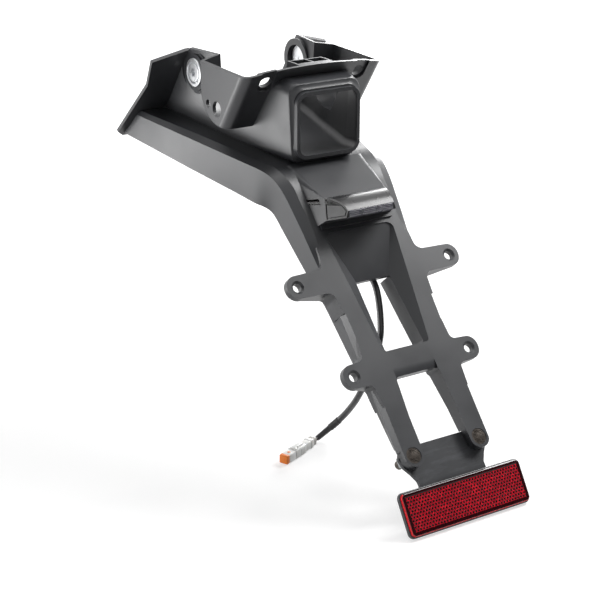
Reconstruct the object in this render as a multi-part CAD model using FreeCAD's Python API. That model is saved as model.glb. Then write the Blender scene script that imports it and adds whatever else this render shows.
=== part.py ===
import FreeCAD, Part
import math
import os

# Tail tidy: number plate carrier and rear housing of a motorbike.
# Millimetres. The origin lies midway between the two side fastenings, which hold the tidy to the
# subframe. +X points to the right in the photograph, +Y to the front of the bike, +Z up.

Vector = FreeCAD.Vector

# Planes that the mouldings follow
ladder_tilt = 50.0          # ladder front plane, degrees above level
arm_tilt = 7.4              # top of the support arm, degrees above level
ladder_behind = 233.0       # bracket screws, behind the side fastenings
ladder_below = 204.5        # bracket screws, below the side fastenings
ladder_reach = 202.9        # bracket screws to the corner where ladder and arm planes meet
shoulder_radius = 45.0      # bend between ladder and arm
plate_lean = 33.4           # front plates, degrees off upright
plate_ahead = 16.2          # front plates, ahead of the origin at its height
band_lean = 35.0            # rear band, degrees off upright
band_behind = 76.1          # rear band, behind the origin at its height

# Support arm moulding
arm_wall = 3.0
skirt_taper = 1.5           # draft of the skirts over their depth
skirt_flare = 5.5           # outward lean of the skirts' foot at the front end
rail_half_width = 34.8
rail_band_width = 1.6       # dark drafted band beside the front faces
rail_band_drop = 5.0
rail_tip_depth = 6.0        # thickness of the rail ends at the bracket
rail_end_radius = 7.4
screw_half_pitch = 26.3     # bracket screws
shoulder_half_width = 42.4
shoulder_depth = 26.6
arm_band_width = 7.0
arm_band_drop = 3.0
arm_front_half_width = 72.0
arm_front_depth = 18.4
arm_front_gap = 0.6         # arm end to the front plates, along the bike
upper_window_low = 69.4
upper_window_high = 155.5
upper_window_low_half = 18.6
upper_window_high_half = 27.6
window_corner = 5.0
leg_low_half = 15.6         # inner faces of the rails beside the upper window
leg_high_half = 13.5
dish_low = 120.6            # lower edge of the sloped panel in the upper window
dish_low_depth = 7.1
dish_high_depth = 0.7
dish_wall = 3.4
lower_window_half = 18.6
crossbar_low = 51.5
crossbar_step = 57.0
crossbar_depth = 8.0

# Side ears of the ladder
upper_ear_half_pitch = 60.9
upper_ear_height = 123.8
lower_ear_half_pitch = 46.2
lower_ear_height = 58.4
ear_radius = 7.7
ear_tip_wall = 4.4
ear_hole = 6.0
ear_countersink = 9.0

# Number plate light and the fairing that it sits on
lamp_low = 161.6            # along the ladder, lower edge of the lamp seat
lamp_low_rise = 7.0         # height of that edge above the ladder plane
lamp_seat_along = 13.9      # the seat's reach up the ladder, and its climb
lamp_seat_climb = 4.3
lamp_front_along = -1.6     # top of the lens, from the seat's lower edge
lamp_front_climb = 15.5
lamp_nose_along = -5.3
lamp_nose_climb = 12.8
lamp_crown_along = 6.0      # middle of the rounded back
lamp_crown_climb = 13.0
lamp_root_half = 30.5       # half width of the lamp's wedge where it would reach the ladder plane
lamp_end_slope = 0.541      # inward slope of the lamp's end faces
lamp_wall = 1.6
fairing_half = 29.6
fairing_slope = 0.4536
fairing_length = 48.0       # along the ladder, from the seat's lower edge
fairing_rear_drop = 6.1
fairing_blend = 9.0         # rounding of its side edges where they fade into the arm
ledge_rise = 1.8

# Upper housing moulding
shell = 2.6
mouth_behind = 98.5
mouth_half_width = 25.2
mouth_low = -44.6
mouth_high = 0.4
mouth_rim = 2.5
mouth_lip = 3.4             # depth of the rim before the duct steps out
mouth_corner = 8.0
duct_half_width = 44.0      # side walls of the duct at the origin
duct_flare = 0.165          # widening per millimetre forward
duct_lean = 0.05            # widening per millimetre upward
duct_floor = -48.0
hood_top = 7.8
wing_half_width = 55.5
wing_front = -24.6
wing_return = 0.219         # slope of the return wall between wing and duct wall
wing_arc_behind = 50.3
wing_arc_height = -3.0
wing_radius = 25.4
wing_corner = 7.0           # rounding of the upright edge
wing_edge = 2.0             # rounding of the lower edge
rim_centre = 15.8           # top edge of the housing over the middle
rim_drop = 5.0              # fall of that edge out to the wings
rim_rise = 0.043            # rise of that edge per millimetre forward
flange_hole = 9.0
flange_half_pitch = 36.8
flange_hole_height = 4.6
pocket_depth = 1.8          # flat pockets round the flange holes
wing_hole_large = 11.0
wing_hole_small = 5.7
wing_large_at = (-46.7, -15.9)
wing_small_at = (-35.4, -14.0)
plate_wall = 2.6
bridge_half_width = 13.8
bridge_low = 4.5
bridge_length = 13.0
bridge_wall = 1.6

# Side fastenings in the duct walls
side_screw = 8.0
side_head = 13.4
side_head_height = 1.6      # sunk in the washer
side_groove = 1.0           # ring of air round the head
side_recess = 6.6
side_washer = 20.0
side_washer_wall = 2.4
side_washer_sink = 1.2      # part of the washer that lies in the boss
side_nut_flange = 20.0
side_nut_wall = 1.0
side_nut_sink = 1.2         # seat of the nut behind the duct's inner face
side_nut_barrel = 11.0
side_boss = 26.0
side_boss_rise = 1.3
side_collar = 30.0          # ring round the nut, inside the duct
side_collar_rise = 3.4
side_clearance = 0.2

# Bracket, its screws and the reflector
bracket_wall = 2.5
bracket_top = 7.1
bracket_screw = 6.0
bracket_screw_head = 11.0
bracket_screw_hole = 6.4
bracket_hex = 4.0
nut_height = 5.0
nut_width = 10.0
reflector_tilt = 58.4
reflector_below_screws = 34.93  # along the ladder, bracket screws to the reflector's middle
reflector_sink = 0.85       # middle of the lens behind the ladder's front plane
lens_width = 94.8
lens_height = 27.4
lens_wall = 3.0
base_rim = 0.9              # visible rim round the lens
base_depth = 7.5            # front of the lens to the bracket
base_rim_drop = 1.7
base_wall = 2.7             # the base without its back pad
pad_width = 52.0
pad_height = 20.0
stud = 5.0
stud_half_pitch = 20.0
stud_nut_height = 4.0
stud_nut_width = 8.0

# Screws that join the housing to the arm
joint_screw = 5.0
joint_head = 10.0
joint_head_height = 2.6
joint_length = 9.0
joint_boss = 10.0
joint_boss_height = 10.0
joint_places = ((20.0, -14.0), (36.0, 12.0))

# Cable from the light to its plug. The route is chosen by hand.
cable_diameter = 4.4
cable_route = (
    Vector(7.0, -123.35, -73.02),
    Vector(7.0, -111.9, -77.8),
    Vector(7.1, -106.5, -90.0),
    Vector(7.3, -111.5, -104.5),
    Vector(7.6, -124.5, -113.5),
    Vector(8.0, -142.6, -121.7),
    Vector(3.6, -155.0, -139.6),
    Vector(-0.5, -161.2, -159.3),
    Vector(-1.7, -141.2, -201.2),
    Vector(1.4, -119.4, -224.8),
    Vector(-4.8, -110.1, -236.7),
    Vector(-16.3, -110.0, -242.5),
)
wire_diameter = 1.5
wire_half_pitch = 1.0
plug_axis = Vector(-0.920, -0.391, 0.0)
plug_start = Vector(-19.6, -110.9, -242.4)
plug_length = 38.0
plug_width = 7.2
plug_height = 6.6


# Places that follow from these sizes

lamp_high = lamp_low + lamp_seat_along
lamp_high_rise = lamp_low_rise + lamp_seat_climb
lamp_front = lamp_low + lamp_front_along
lamp_front_rise = lamp_low_rise + lamp_front_climb
lamp_nose = lamp_low + lamp_nose_along
lamp_nose_rise = lamp_low_rise + lamp_nose_climb
lamp_crown = lamp_low + lamp_crown_along
lamp_crown_rise = lamp_low_rise + lamp_crown_climb
fairing_rear = lamp_low + fairing_length
bracket_low = -reflector_below_screws - pad_height / 2


# Helpers

def unit(vector):
    result = Vector(vector)
    result.normalize()
    return result


def tangent(degrees):
    return math.tan(math.radians(degrees))


def face_of(points):
    return Part.Face(Part.makePolygon(list(points) + [points[0]]))


def rounded_wire(points, radii):
    """A closed planar outline whose corners are arcs of the given radii, 0 for a sharp corner."""
    count = len(points)
    starts = []
    middles = []
    ends = []
    for index in range(count):
        corner = points[index]
        back = unit(points[index - 1] - corner)
        ahead = unit(points[(index + 1) % count] - corner)
        radius = radii[index]
        half_angle = back.getAngle(ahead) / 2
        reach = radius / math.tan(half_angle)
        starts.append(corner + back * reach)
        ends.append(corner + ahead * reach)
        bisector = unit(back + ahead)
        middles.append(corner + bisector * (radius / math.sin(half_angle) - radius))
    edges = []
    for index in range(count):
        if radii[index] > 0:
            edges.append(Part.Arc(starts[index], middles[index], ends[index]).toShape())
        following = starts[(index + 1) % count]
        if (following - ends[index]).Length > 1e-6:
            edges.append(Part.LineSegment(ends[index], following).toShape())
    return Part.Wire(edges)


def loft(wires, ruled=True):
    return Part.makeLoft(wires, True, ruled)


def mirrored(shape):
    return shape.mirror(Vector(0, 0, 0), Vector(1, 0, 0))


def pair(shape):
    return [shape, mirrored(shape)]


def group(shapes):
    return Part.makeCompound(shapes)


def cylinder(diameter, start, direction, length):
    return Part.makeCylinder(diameter / 2, length, start, unit(direction))


def block(x_from, x_to, y_from, y_to, z_from, z_to):
    return Part.makeBox(x_to - x_from, y_to - y_from, z_to - z_from, Vector(x_from, y_from, z_from))


def hexagon_bar(across, start, direction, length):
    """A hexagonal bar along a direction, by its width across flats."""
    axis = unit(direction)
    side = unit(axis.cross(Vector(1, 0, 0)) if abs(axis.x) < 0.9 else axis.cross(Vector(0, 0, 1)))
    corner = across / math.sqrt(3)
    points = []
    for step in range(6):
        turn = FreeCAD.Rotation(axis, 60 * step)
        points.append(start + turn.multVec(side) * corner)
    return face_of(points).extrude(axis * length)


def six_lobe_bar(across, start, direction, length):
    """A six-lobed socket as a bar: a round core with six round lobes."""
    axis = unit(direction)
    side = unit(axis.cross(Vector(1, 0, 0)) if abs(axis.x) < 0.9 else axis.cross(Vector(0, 0, 1)))
    lobe = across * 0.13
    shape = cylinder(across * 0.78, start, axis, length)
    lobes = []
    for step in range(6):
        turn = FreeCAD.Rotation(axis, 60 * step)
        lobes.append(cylinder(2 * lobe, start + turn.multVec(side) * (across / 2 - lobe), axis, length))
    return shape.fuse(lobes).removeSplitter()


# Ladder frame: x across, s up the ladder from the bracket screws, n out of its front plane

ladder_origin = Vector(0, -ladder_behind, -ladder_below)
ladder_place = FreeCAD.Placement(ladder_origin, FreeCAD.Rotation(Vector(1, 0, 0), ladder_tilt))


def from_ladder(shape):
    result = shape.copy()
    result.transformShape(ladder_place.toMatrix(), True)
    return result


def direction_at(degrees):
    return Vector(0, math.cos(math.radians(degrees)), math.sin(math.radians(degrees)))


def normal_at(degrees):
    return Vector(0, -math.sin(math.radians(degrees)), math.cos(math.radians(degrees)))


shoulder_turn = ladder_tilt - arm_tilt
arc_start = ladder_reach - shoulder_radius * tangent(shoulder_turn / 2)
arc_end = arc_start + shoulder_radius * math.radians(shoulder_turn)
arc_centre = (ladder_origin + direction_at(ladder_tilt) * arc_start
              - normal_at(ladder_tilt) * shoulder_radius)
meeting = ladder_origin + direction_at(ladder_tilt) * ladder_reach


def arm_top(y):
    """Height of the arm's top plane."""
    return meeting.z + tangent(arm_tilt) * (y - meeting.y)


def station(path):
    """Point and tilt of the moulding's top line, by the length along it from the bracket screws."""
    if path <= arc_start:
        return ladder_origin + direction_at(ladder_tilt) * path, ladder_tilt
    if path <= arc_end:
        tilt = ladder_tilt - math.degrees((path - arc_start) / shoulder_radius)
        return arc_centre + normal_at(tilt) * shoulder_radius, tilt
    start = arc_centre + normal_at(arm_tilt) * shoulder_radius
    return start + direction_at(arm_tilt) * (path - arc_end), arm_tilt


def section(path, half_points):
    """A closed section across the path: (x, n) points of the right half, mirrored to the left."""
    origin, tilt = station(path)
    up = normal_at(tilt)
    right = [origin + Vector(x, 0, 0) + up * n for x, n in half_points]
    left = [Vector(-point.x, point.y, point.z) for point in reversed(right)]
    points = right + left
    return Part.makePolygon(points + [points[0]])


def side_prism(points, half_width):
    """A solid from a side view outline of (y, z) points, across the whole part."""
    corners = [Vector(-half_width, y, z) for y, z in points]
    return face_of(corners).extrude(Vector(2 * half_width, 0, 0))


def ladder_prism(points, half_width):
    """A solid from a side view outline of (s, n) points, across the whole part."""
    corners = [Vector(-half_width, s, n) for s, n in points]
    return face_of(corners).extrude(Vector(2 * half_width, 0, 0))


# Stations of the support arm: path, half width, band width, band drop, skirt depth, skirt taper

arm_stations = (
    (-9.0, rail_half_width, rail_band_width, rail_band_drop, rail_tip_depth + 0.2, skirt_taper),
    (12.0, rail_half_width, rail_band_width, rail_band_drop, rail_tip_depth + 3.0, skirt_taper),
    (50.0, rail_half_width + 0.2, rail_band_width, rail_band_drop, rail_tip_depth + 6.8, skirt_taper),
    (85.0, rail_half_width + 0.9, rail_band_width, rail_band_drop, rail_tip_depth + 10.4, skirt_taper),
    (112.0, rail_half_width + 1.7, rail_band_width, rail_band_drop, rail_tip_depth + 12.8, skirt_taper),
    (139.0, rail_half_width + 3.8, rail_band_width + 1.8, rail_band_drop - 1.0,
     shoulder_depth - 4.6, skirt_taper),
    (162.0, shoulder_half_width - 2.0, arm_band_width - 0.4, arm_band_drop,
     shoulder_depth - 2.4, skirt_taper),
    (arc_start, shoulder_half_width, arm_band_width, arm_band_drop, shoulder_depth - 0.2, skirt_taper),
    ((arc_start + arc_end) / 2, shoulder_half_width + 1.5, arm_band_width, arm_band_drop,
     shoulder_depth + 1.6, skirt_taper),
    (arc_end, shoulder_half_width + 4.6, arm_band_width - 0.4, arm_band_drop,
     shoulder_depth + 2.0, skirt_taper),
    (237.0, shoulder_half_width + 8.4, arm_band_width - 0.8, arm_band_drop,
     shoulder_depth + 0.8, skirt_taper),
    (285.0, arm_front_half_width - 11.9, arm_band_width - 2.0, arm_band_drop,
     arm_front_depth + 6.4, skirt_taper - 1.0),
    (345.0, arm_front_half_width, arm_band_width - 4.8, arm_band_drop,
     arm_front_depth + 0.4, -skirt_flare * 0.7),
    (366.0, arm_front_half_width + 4.2, arm_band_width - 5.4, arm_band_drop,
     arm_front_depth - 1.6, -skirt_flare),
)


def arm_size(path):
    """Half width, band width, band drop, skirt depth and skirt taper at a place on the path."""
    for before, after in zip(arm_stations, arm_stations[1:]):
        if path <= after[0]:
            share = (path - before[0]) / (after[0] - before[0])
            return [a + (b - a) * share for a, b in zip(before[1:], after[1:])]
    return arm_stations[-1][1:]


def even_paths(first, last):
    """Evenly spaced places on the path, so that a smooth loft through them keeps its shape."""
    spacing = 12.0
    count = round((last - first) / spacing)
    return [first + (last - first) * step / count for step in range(count + 1)]


def window_rim(s):
    rise = (s - upper_window_low) / (upper_window_high - upper_window_low)
    return upper_window_low_half + (upper_window_high_half - upper_window_low_half) * rise


def window_leg(s):
    rise = (s - upper_window_low) / (dish_low - upper_window_low)
    return leg_low_half + (leg_high_half - leg_low_half) * rise


window_slope = dish_low_depth / (window_rim(dish_low) - leg_high_half + 0.6)


def dish_depth(s):
    rise = (s - dish_low) / (upper_window_high - dish_low)
    return dish_low_depth + (dish_high_depth - dish_low_depth) * rise


# Support arm

def arm_body():
    """Full outside of the arm without its hollows, standing proud of the top line."""
    lift = 2.0
    wires = []
    for path in even_paths(arm_stations[0][0], arm_stations[-1][0]):
        half_width, band_width, band_drop, depth, taper = arm_size(path)
        proud = half_width - band_width - band_width * lift / band_drop
        wires.append(section(path, (
            (half_width - taper, -depth),
            (half_width, -band_drop),
            (proud, lift),
        )))
    return loft(wires, False)


def arm_envelope():
    """Everything under the top line and behind the front end."""
    reach = 140.0
    low = 60.0
    start = station(-12.0)[0]
    bend_start = station(arc_start)[0]
    bend_middle = station((arc_start + arc_end) / 2)[0]
    bend_end = station(arc_end)[0]
    lean = tangent(plate_lean)
    slope = tangent(arm_tilt)
    front_at = plate_ahead - arm_front_gap
    front_y = (front_at - lean * (meeting.z - slope * meeting.y)) / (1 + lean * slope)
    front = Vector(0, front_y, arm_top(front_y))
    front_low = Vector(0, front_at + lean * reach / 2, -reach / 2)
    under = Vector(0, meeting.y, meeting.z - low)
    start_low = start - normal_at(ladder_tilt) * low
    edges = [
        Part.LineSegment(start, bend_start).toShape(),
        Part.Arc(bend_start, bend_middle, bend_end).toShape(),
        Part.LineSegment(bend_end, front).toShape(),
        Part.LineSegment(front, front_low).toShape(),
        Part.LineSegment(front_low, under).toShape(),
        Part.LineSegment(under, start_low).toShape(),
        Part.LineSegment(start_low, start).toShape(),
    ]
    outline = Part.Face(Part.Wire(edges))
    outline.translate(Vector(-reach, 0, 0))
    return outline.extrude(Vector(2 * reach, 0, 0))


def ear(half_pitch, height, root_x, root_depth, root_fillet):
    """One side ear in the ladder frame, with a web that deepens toward the rail."""
    inside = 4.0
    reach = 16.0
    top = height + ear_radius
    low = height - ear_radius
    outer = half_pitch + ear_radius
    outline = rounded_wire(
        [
            Vector(root_x - inside, top + reach, 2),
            Vector(root_x, top + reach, 2),
            Vector(root_x + 1.0, top + 1.0, 2),
            Vector(outer, top, 2),
            Vector(outer, low, 2),
            Vector(root_x + 0.5, low - 0.6, 2),
            Vector(root_x - 0.5, low - reach, 2),
            Vector(root_x - inside, low - reach, 2),
        ],
        [0, 0, root_fillet, ear_radius - 0.1, ear_radius - 0.1, root_fillet - 1.0, 0, 0],
    )
    plate = Part.Face(outline).extrude(Vector(0, 0, -2 - root_depth))
    web = face_of([
        Vector(root_x - inside - 1, low - 2 * reach, 3),
        Vector(outer + 1, low - 2 * reach, 3),
        Vector(outer + 1, low - 2 * reach, -ear_tip_wall),
        Vector(half_pitch, low - 2 * reach, -ear_tip_wall),
        Vector(root_x, low - 2 * reach, -root_depth),
        Vector(root_x - inside - 1, low - 2 * reach, -root_depth),
    ]).extrude(Vector(0, 4 * reach + 2 * ear_radius, 0))
    return plate.common(web)


def ear_holes(half_pitch, height):
    """Hole and countersink of one ear in the ladder frame."""
    sink = 1.2
    hole = cylinder(ear_hole, Vector(half_pitch, height, -30), Vector(0, 0, 1), 40)
    dish = Part.makeCone(ear_hole / 2, ear_countersink / 2, sink, Vector(half_pitch, height, -sink),
                         Vector(0, 0, 1))
    mouth = cylinder(ear_countersink, Vector(half_pitch, height, 0), Vector(0, 0, 1), 5)
    return [hole, dish, mouth]


def fairing_outside():
    """The raised seat of the light, with side edges that grow rounder toward the arm."""
    half = fairing(0).common(block(0, 60, 100, 260, -60, 60))
    edges = [edge for edge in half.Edges
             if edge.BoundBox.XMin > 20 and abs(edge.BoundBox.YMin - lamp_high) < 0.01
             and abs(edge.BoundBox.YMax - fairing_rear) < 0.01]
    half = half.makeFillet(0.4, fairing_blend, edges)
    return half.fuse(mirrored(half)).removeSplitter()


def fairing(inset):
    """The raised seat of the light, in the ladder frame, moved inward by a wall thickness."""
    low = 12.0 if inset > 0 else 3.0
    seat_slope = (lamp_high_rise - lamp_low_rise) / (lamp_high - lamp_low)
    seat_drop = inset * math.hypot(1, seat_slope)
    profile = ladder_prism((
        (lamp_low + inset, -low),
        (lamp_low + inset, lamp_low_rise + seat_slope * inset - seat_drop),
        (lamp_high, lamp_high_rise - seat_drop),
        (fairing_rear - inset, -fairing_rear_drop - inset),
        (fairing_rear - inset, -fairing_rear_drop - low),
    ), 60)
    span = fairing_half - inset * 1.1
    wedge = face_of([
        Vector(-span - fairing_slope * 30, 140, -30),
        Vector(span + fairing_slope * 30, 140, -30),
        Vector(span - fairing_slope * 20, 140, 20),
        Vector(-span + fairing_slope * 20, 140, 20),
    ]).extrude(Vector(0, 90, 0))
    return profile.common(wedge)


def window_pit():
    """Front hollow of the upper window: sloped side faces that run down to the legs and the panel."""
    above = 3.0
    sections = []
    for s, depth in ((upper_window_low, dish_low_depth - 1.5), (dish_low, dish_low_depth),
                     (upper_window_high, dish_high_depth)):
        rim = window_rim(s)
        foot = rim - depth / window_slope
        spread = rim + above / window_slope
        sections.append(Part.makePolygon([
            Vector(-spread, s, above),
            Vector(spread, s, above),
            Vector(foot, s, -depth),
            Vector(-foot, s, -depth),
            Vector(-spread, s, above),
        ]))
    slopes = loft(sections)
    outline = rounded_wire(
        [
            Vector(-upper_window_low_half, upper_window_low, -20),
            Vector(upper_window_low_half, upper_window_low, -20),
            Vector(upper_window_high_half, upper_window_high, -20),
            Vector(-upper_window_high_half, upper_window_high, -20),
        ],
        [window_corner / 2, window_corner / 2, window_corner, window_corner],
    )
    return slopes.common(Part.Face(outline).extrude(Vector(0, 0, 30)))


def through_windows():
    """The two see-through openings of the ladder."""
    upper = Part.Face(rounded_wire(
        [
            Vector(-leg_low_half, upper_window_low, -45),
            Vector(leg_low_half, upper_window_low, -45),
            Vector(leg_high_half, dish_low, -45),
            Vector(-leg_high_half, dish_low, -45),
        ],
        [window_corner / 2, window_corner / 2, 0, 0],
    )).extrude(Vector(0, 0, 55))
    lower = Part.Face(rounded_wire(
        [
            Vector(-lower_window_half, -30, -45),
            Vector(lower_window_half, -30, -45),
            Vector(lower_window_half, 24, -45),
            Vector(lower_window_half - 1.8, crossbar_low, -45),
            Vector(-lower_window_half + 1.8, crossbar_low, -45),
            Vector(-lower_window_half, 24, -45),
        ],
        [0, 0, 0, 3.5, 3.5, 0],
    )).extrude(Vector(0, 0, 55))
    return [upper, lower]


def skirt_line(path):
    """Inner outline of the outer skirt at a place: foot, band and top points."""
    half_width, band_width, band_drop, depth, taper = arm_size(path)
    return (
        (half_width - taper * (depth + 4) / depth - arm_wall - 0.3, -depth - 4),
        (half_width - arm_wall, -band_drop - 0.6),
        (half_width - band_width - 0.8, -arm_wall),
    )


def rail_hollow(s_from, s_to, inner):
    """Rear hollow of one rail; inner gives the inner edge and its drop below the wall at a place."""
    wires = []
    for s in (s_from, s_to):
        foot, band, top = skirt_line(s)
        edge, rim, drop = inner(s)
        points = [foot, band, top, (rim, -arm_wall), (edge, -arm_wall - drop), (edge, foot[1])]
        wires.append(Part.makePolygon([Vector(x, s, n) for x, n in points + points[:1]]))
    return loft(wires)


def lower_rail_inner(s):
    edge = lower_window_half + arm_wall
    return edge, edge + 1.0, 0.2


def upper_rail_inner(s):
    edge = window_leg(s) + arm_wall
    return edge, window_rim(s) + 0.6, window_slope * (window_rim(s) - edge) + 0.5


def arm_hollows():
    """Rear hollows between the ribs of the ladder, and the channel of the arm."""
    rib = arm_wall
    hollows = []
    hollows += pair(from_ladder(rail_hollow(11.0, crossbar_low - rib / 2, lower_rail_inner)))
    hollows += pair(from_ladder(rail_hollow(upper_window_low + rib, dish_low - rib / 2, upper_rail_inner)))
    crossbar = []
    for s in (crossbar_low + rib, upper_window_low - rib):
        foot, band, top = skirt_line(s)
        crossbar.append(section(s, (foot, band, (top[0], -arm_wall))))
    hollows.append(loft(crossbar))
    behind_dish = []
    for s in (dish_low, upper_window_high - 2.0):
        foot, band, top = skirt_line(s)
        panel_foot = window_rim(s) - dish_depth(s) / window_slope
        behind_dish.append(section(s, (
            foot,
            band,
            (top[0], -arm_wall),
            (window_rim(s) + 0.6, -arm_wall),
            (panel_foot, -dish_depth(s) - dish_wall),
        )))
    hollows.append(loft(behind_dish))
    channel = []
    for path in even_paths(upper_window_high + rib / 2, arm_stations[-1][0]):
        channel.append(section(path, skirt_line(path)))
    hollows.append(loft(channel, False))
    return hollows


def arm_openings():
    """Cuts through the ladder in its own frame."""
    cuts = [window_pit()]
    cuts += through_windows()
    cuts.append(block(-leg_low_half, leg_low_half, crossbar_low - 1, upper_window_low + 1,
                      -40, -crossbar_depth))
    cuts.append(block(-leg_high_half, leg_high_half, dish_low - 1, dish_low + 3,
                      -40, -dish_low_depth - dish_wall))
    cuts.append(ladder_prism((
        (crossbar_step, 0), (crossbar_low - 1, -1.4), (crossbar_low - 1, 2), (crossbar_step, 2),
    ), lower_window_half - 2))
    ends = block(-60, 60, -30, 4.5, -45, 6)
    for side in (-1, 1):
        centre = Vector(side * screw_half_pitch, 0, -50)
        tongue = cylinder(2 * rail_end_radius, centre, Vector(0, 0, 1), 60)
        strip = block(side * screw_half_pitch - rail_end_radius, side * screw_half_pitch + rail_end_radius,
                      0, 10, -50, 10)
        ends = ends.cut(tongue.fuse(strip))
    cuts.append(ends)
    cuts.append(block(-60, 60, -30, bracket_top + 0.6, -45, -rail_tip_depth))
    for side in (-1, 1):
        cuts += bracket_screw_room(side)
        for half_pitch, height in ((upper_ear_half_pitch, upper_ear_height),
                                   (lower_ear_half_pitch, lower_ear_height)):
            cuts += ear_holes(side * half_pitch, height)
    hollow = block(upper_ear_half_pitch - 3 * ear_radius, upper_ear_half_pitch - ear_radius + 0.3,
                   upper_ear_height - ear_radius + 2.1, upper_ear_height + ear_radius - 2.1, -30, -arm_wall)
    return cuts + pair(hollow)


def bracket_screw_room(side):
    """Countersunk hole of one bracket screw in the rail end."""
    centre = Vector(side * screw_half_pitch, 0, 0)
    head_depth = (bracket_screw_head - bracket_screw_hole) / 2
    hole = cylinder(bracket_screw_hole, centre - Vector(0, 0, 20), Vector(0, 0, 1), 30)
    sink = Part.makeCone(bracket_screw_hole / 2, bracket_screw_head / 2, head_depth,
                         centre - Vector(0, 0, head_depth + 0.3), Vector(0, 0, 1))
    mouth = cylinder(bracket_screw_head, centre - Vector(0, 0, 0.3), Vector(0, 0, 1), 5)
    return [hole, sink, mouth]


def joint_axis(x, y):
    """Base point on the arm's top plane and upward direction of one joint screw."""
    return Vector(x, y, arm_top(y)), normal_at(arm_tilt)


def joint_points():
    return [joint_axis(side * x, y) for x, y in joint_places for side in (-1, 1)]


def make_support_arm():
    ears = []
    for half_pitch, height, root, depth, fillet in (
        (upper_ear_half_pitch, upper_ear_height, 36.6, 15.0, 6.0),
        (lower_ear_half_pitch, lower_ear_height, 34.4, 12.0, 4.0),
    ):
        ears += pair(from_ladder(ear(half_pitch, height, root, depth, fillet)))
    body = arm_body().fuse(ears).common(arm_envelope())
    body = body.cut(arm_hollows())
    ledge = block(-fairing_half + 1.2, fairing_half - 1.2, lamp_low - 3.2, lamp_low + 1, -2, ledge_rise)
    body = body.fuse([from_ladder(fairing_outside()), from_ladder(ledge)])
    cuts = [from_ladder(fairing(arm_wall))]
    cuts += [from_ladder(cut) for cut in arm_openings()]
    cuts += [from_ladder(cut) for cut in lamp_seat_cuts()]
    for point, up in joint_points():
        cuts.append(cylinder(joint_screw + 0.4, point - up * 10, up, 20))
    body = body.cut(cuts)
    return body.removeSplitter()


# Number plate light, in the ladder frame

def seat_direction():
    return unit(Vector(0, lamp_high - lamp_low, lamp_high_rise - lamp_low_rise))


def seat_normal():
    along = seat_direction()
    return Vector(0, -along.z, along.y)


def seat_point(x, along, out):
    """A point by its distance up the lamp's seat and out of it."""
    low = Vector(x, lamp_low, lamp_low_rise)
    return low + seat_direction() * along + seat_normal() * out


def seat_box(x_from, x_to, along_from, along_to, out_from, out_to):
    corners = [
        seat_point(x_from, along_from, out_from),
        seat_point(x_to, along_from, out_from),
        seat_point(x_to, along_to, out_from),
        seat_point(x_from, along_to, out_from),
    ]
    return face_of(corners).extrude(seat_normal() * (out_to - out_from))


seat_length = math.hypot(lamp_high - lamp_low, lamp_high_rise - lamp_low_rise)
lamp_spigot_half = 16.0
lamp_spigot_from = 3.3
lamp_spigot_to = 11.0
lamp_screw_half_pitch = 20.0
lamp_screw = 3.0
lamp_screw_head_height = 1.7
grommet_x = cable_route[0].x


def lamp_seat_cuts():
    """Window for the lamp's spigot and the two screw holes in the seat."""
    play = 0.3
    cuts = [seat_box(-lamp_spigot_half - play, lamp_spigot_half + play,
                     lamp_spigot_from - play, lamp_spigot_to + play, -6, 2)]
    for side in (-1, 1):
        start = seat_point(side * lamp_screw_half_pitch, seat_length / 2, -8)
        cuts.append(cylinder(lamp_screw + 0.3, start, seat_normal(), 12))
    return cuts


def lamp_wedge(inset):
    """Block with the light's sloped end faces, moved inward by a wall."""
    span = lamp_root_half - inset * 1.15
    return face_of([
        Vector(-span, 130, 0),
        Vector(span, 130, 0),
        Vector(span - lamp_end_slope * 40, 130, 40),
        Vector(-span + lamp_end_slope * 40, 130, 40),
    ]).extrude(Vector(0, 70, 0))


def lamp_profile(wires):
    face = Part.Face(Part.Wire(wires))
    face.translate(Vector(-60, 0, 0))
    return face.extrude(Vector(120, 0, 0))


def lamp_outline(inset):
    """Side view of the light: seat, quarter-round back, front band and underside."""
    high = Vector(0, lamp_high, lamp_high_rise)
    crown = Vector(0, lamp_crown, lamp_crown_rise)
    front = Vector(0, lamp_front, lamp_front_rise)
    nose = Vector(0, lamp_nose, lamp_nose_rise)
    low = Vector(0, lamp_low, lamp_low_rise)
    centre = (high + crown + front + nose + low) * 0.2
    points = []
    for point in (high, crown, front, nose, low):
        inward = unit(centre - point)
        points.append(point + inward * inset * 1.25)
    high, crown, front, nose, low = points
    return [
        Part.Arc(high, crown, front).toShape(),
        Part.LineSegment(front, nose).toShape(),
        Part.LineSegment(nose, low).toShape(),
        Part.LineSegment(low, high).toShape(),
    ]


lens_half = 17.6
lens_thickness = 1.8
lens_under = 7.5


def lens_shape(play):
    """The lens: the front band of the light and part of its underside, as one bent strip."""
    front = Vector(0, lamp_front, lamp_front_rise)
    nose = Vector(0, lamp_nose, lamp_nose_rise)
    low = Vector(0, lamp_low, lamp_low_rise)
    down = unit(nose - front)
    back = unit(low - nose)
    top = front + down * (0.35 - play)
    end = nose + back * (lens_under + play)
    inner_front = Vector(0, -down.z, down.y) * -1
    inner_back = Vector(0, -back.z, back.y) * -1
    if inner_front.dot(low - front) < 0:
        inner_front = inner_front * -1
    if inner_back.dot(front - nose) < 0:
        inner_back = inner_back * -1
    depth = lens_thickness + play
    corner = nose + (inner_front + inner_back) * (depth / (1 + inner_front.dot(inner_back)))
    points = [top, nose, end, end + inner_back * depth, corner, top + inner_front * depth]
    half = lens_half + play
    corners = [Vector(-half, point.y, point.z) for point in points]
    return face_of(corners).extrude(Vector(2 * half, 0, 0))


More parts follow.
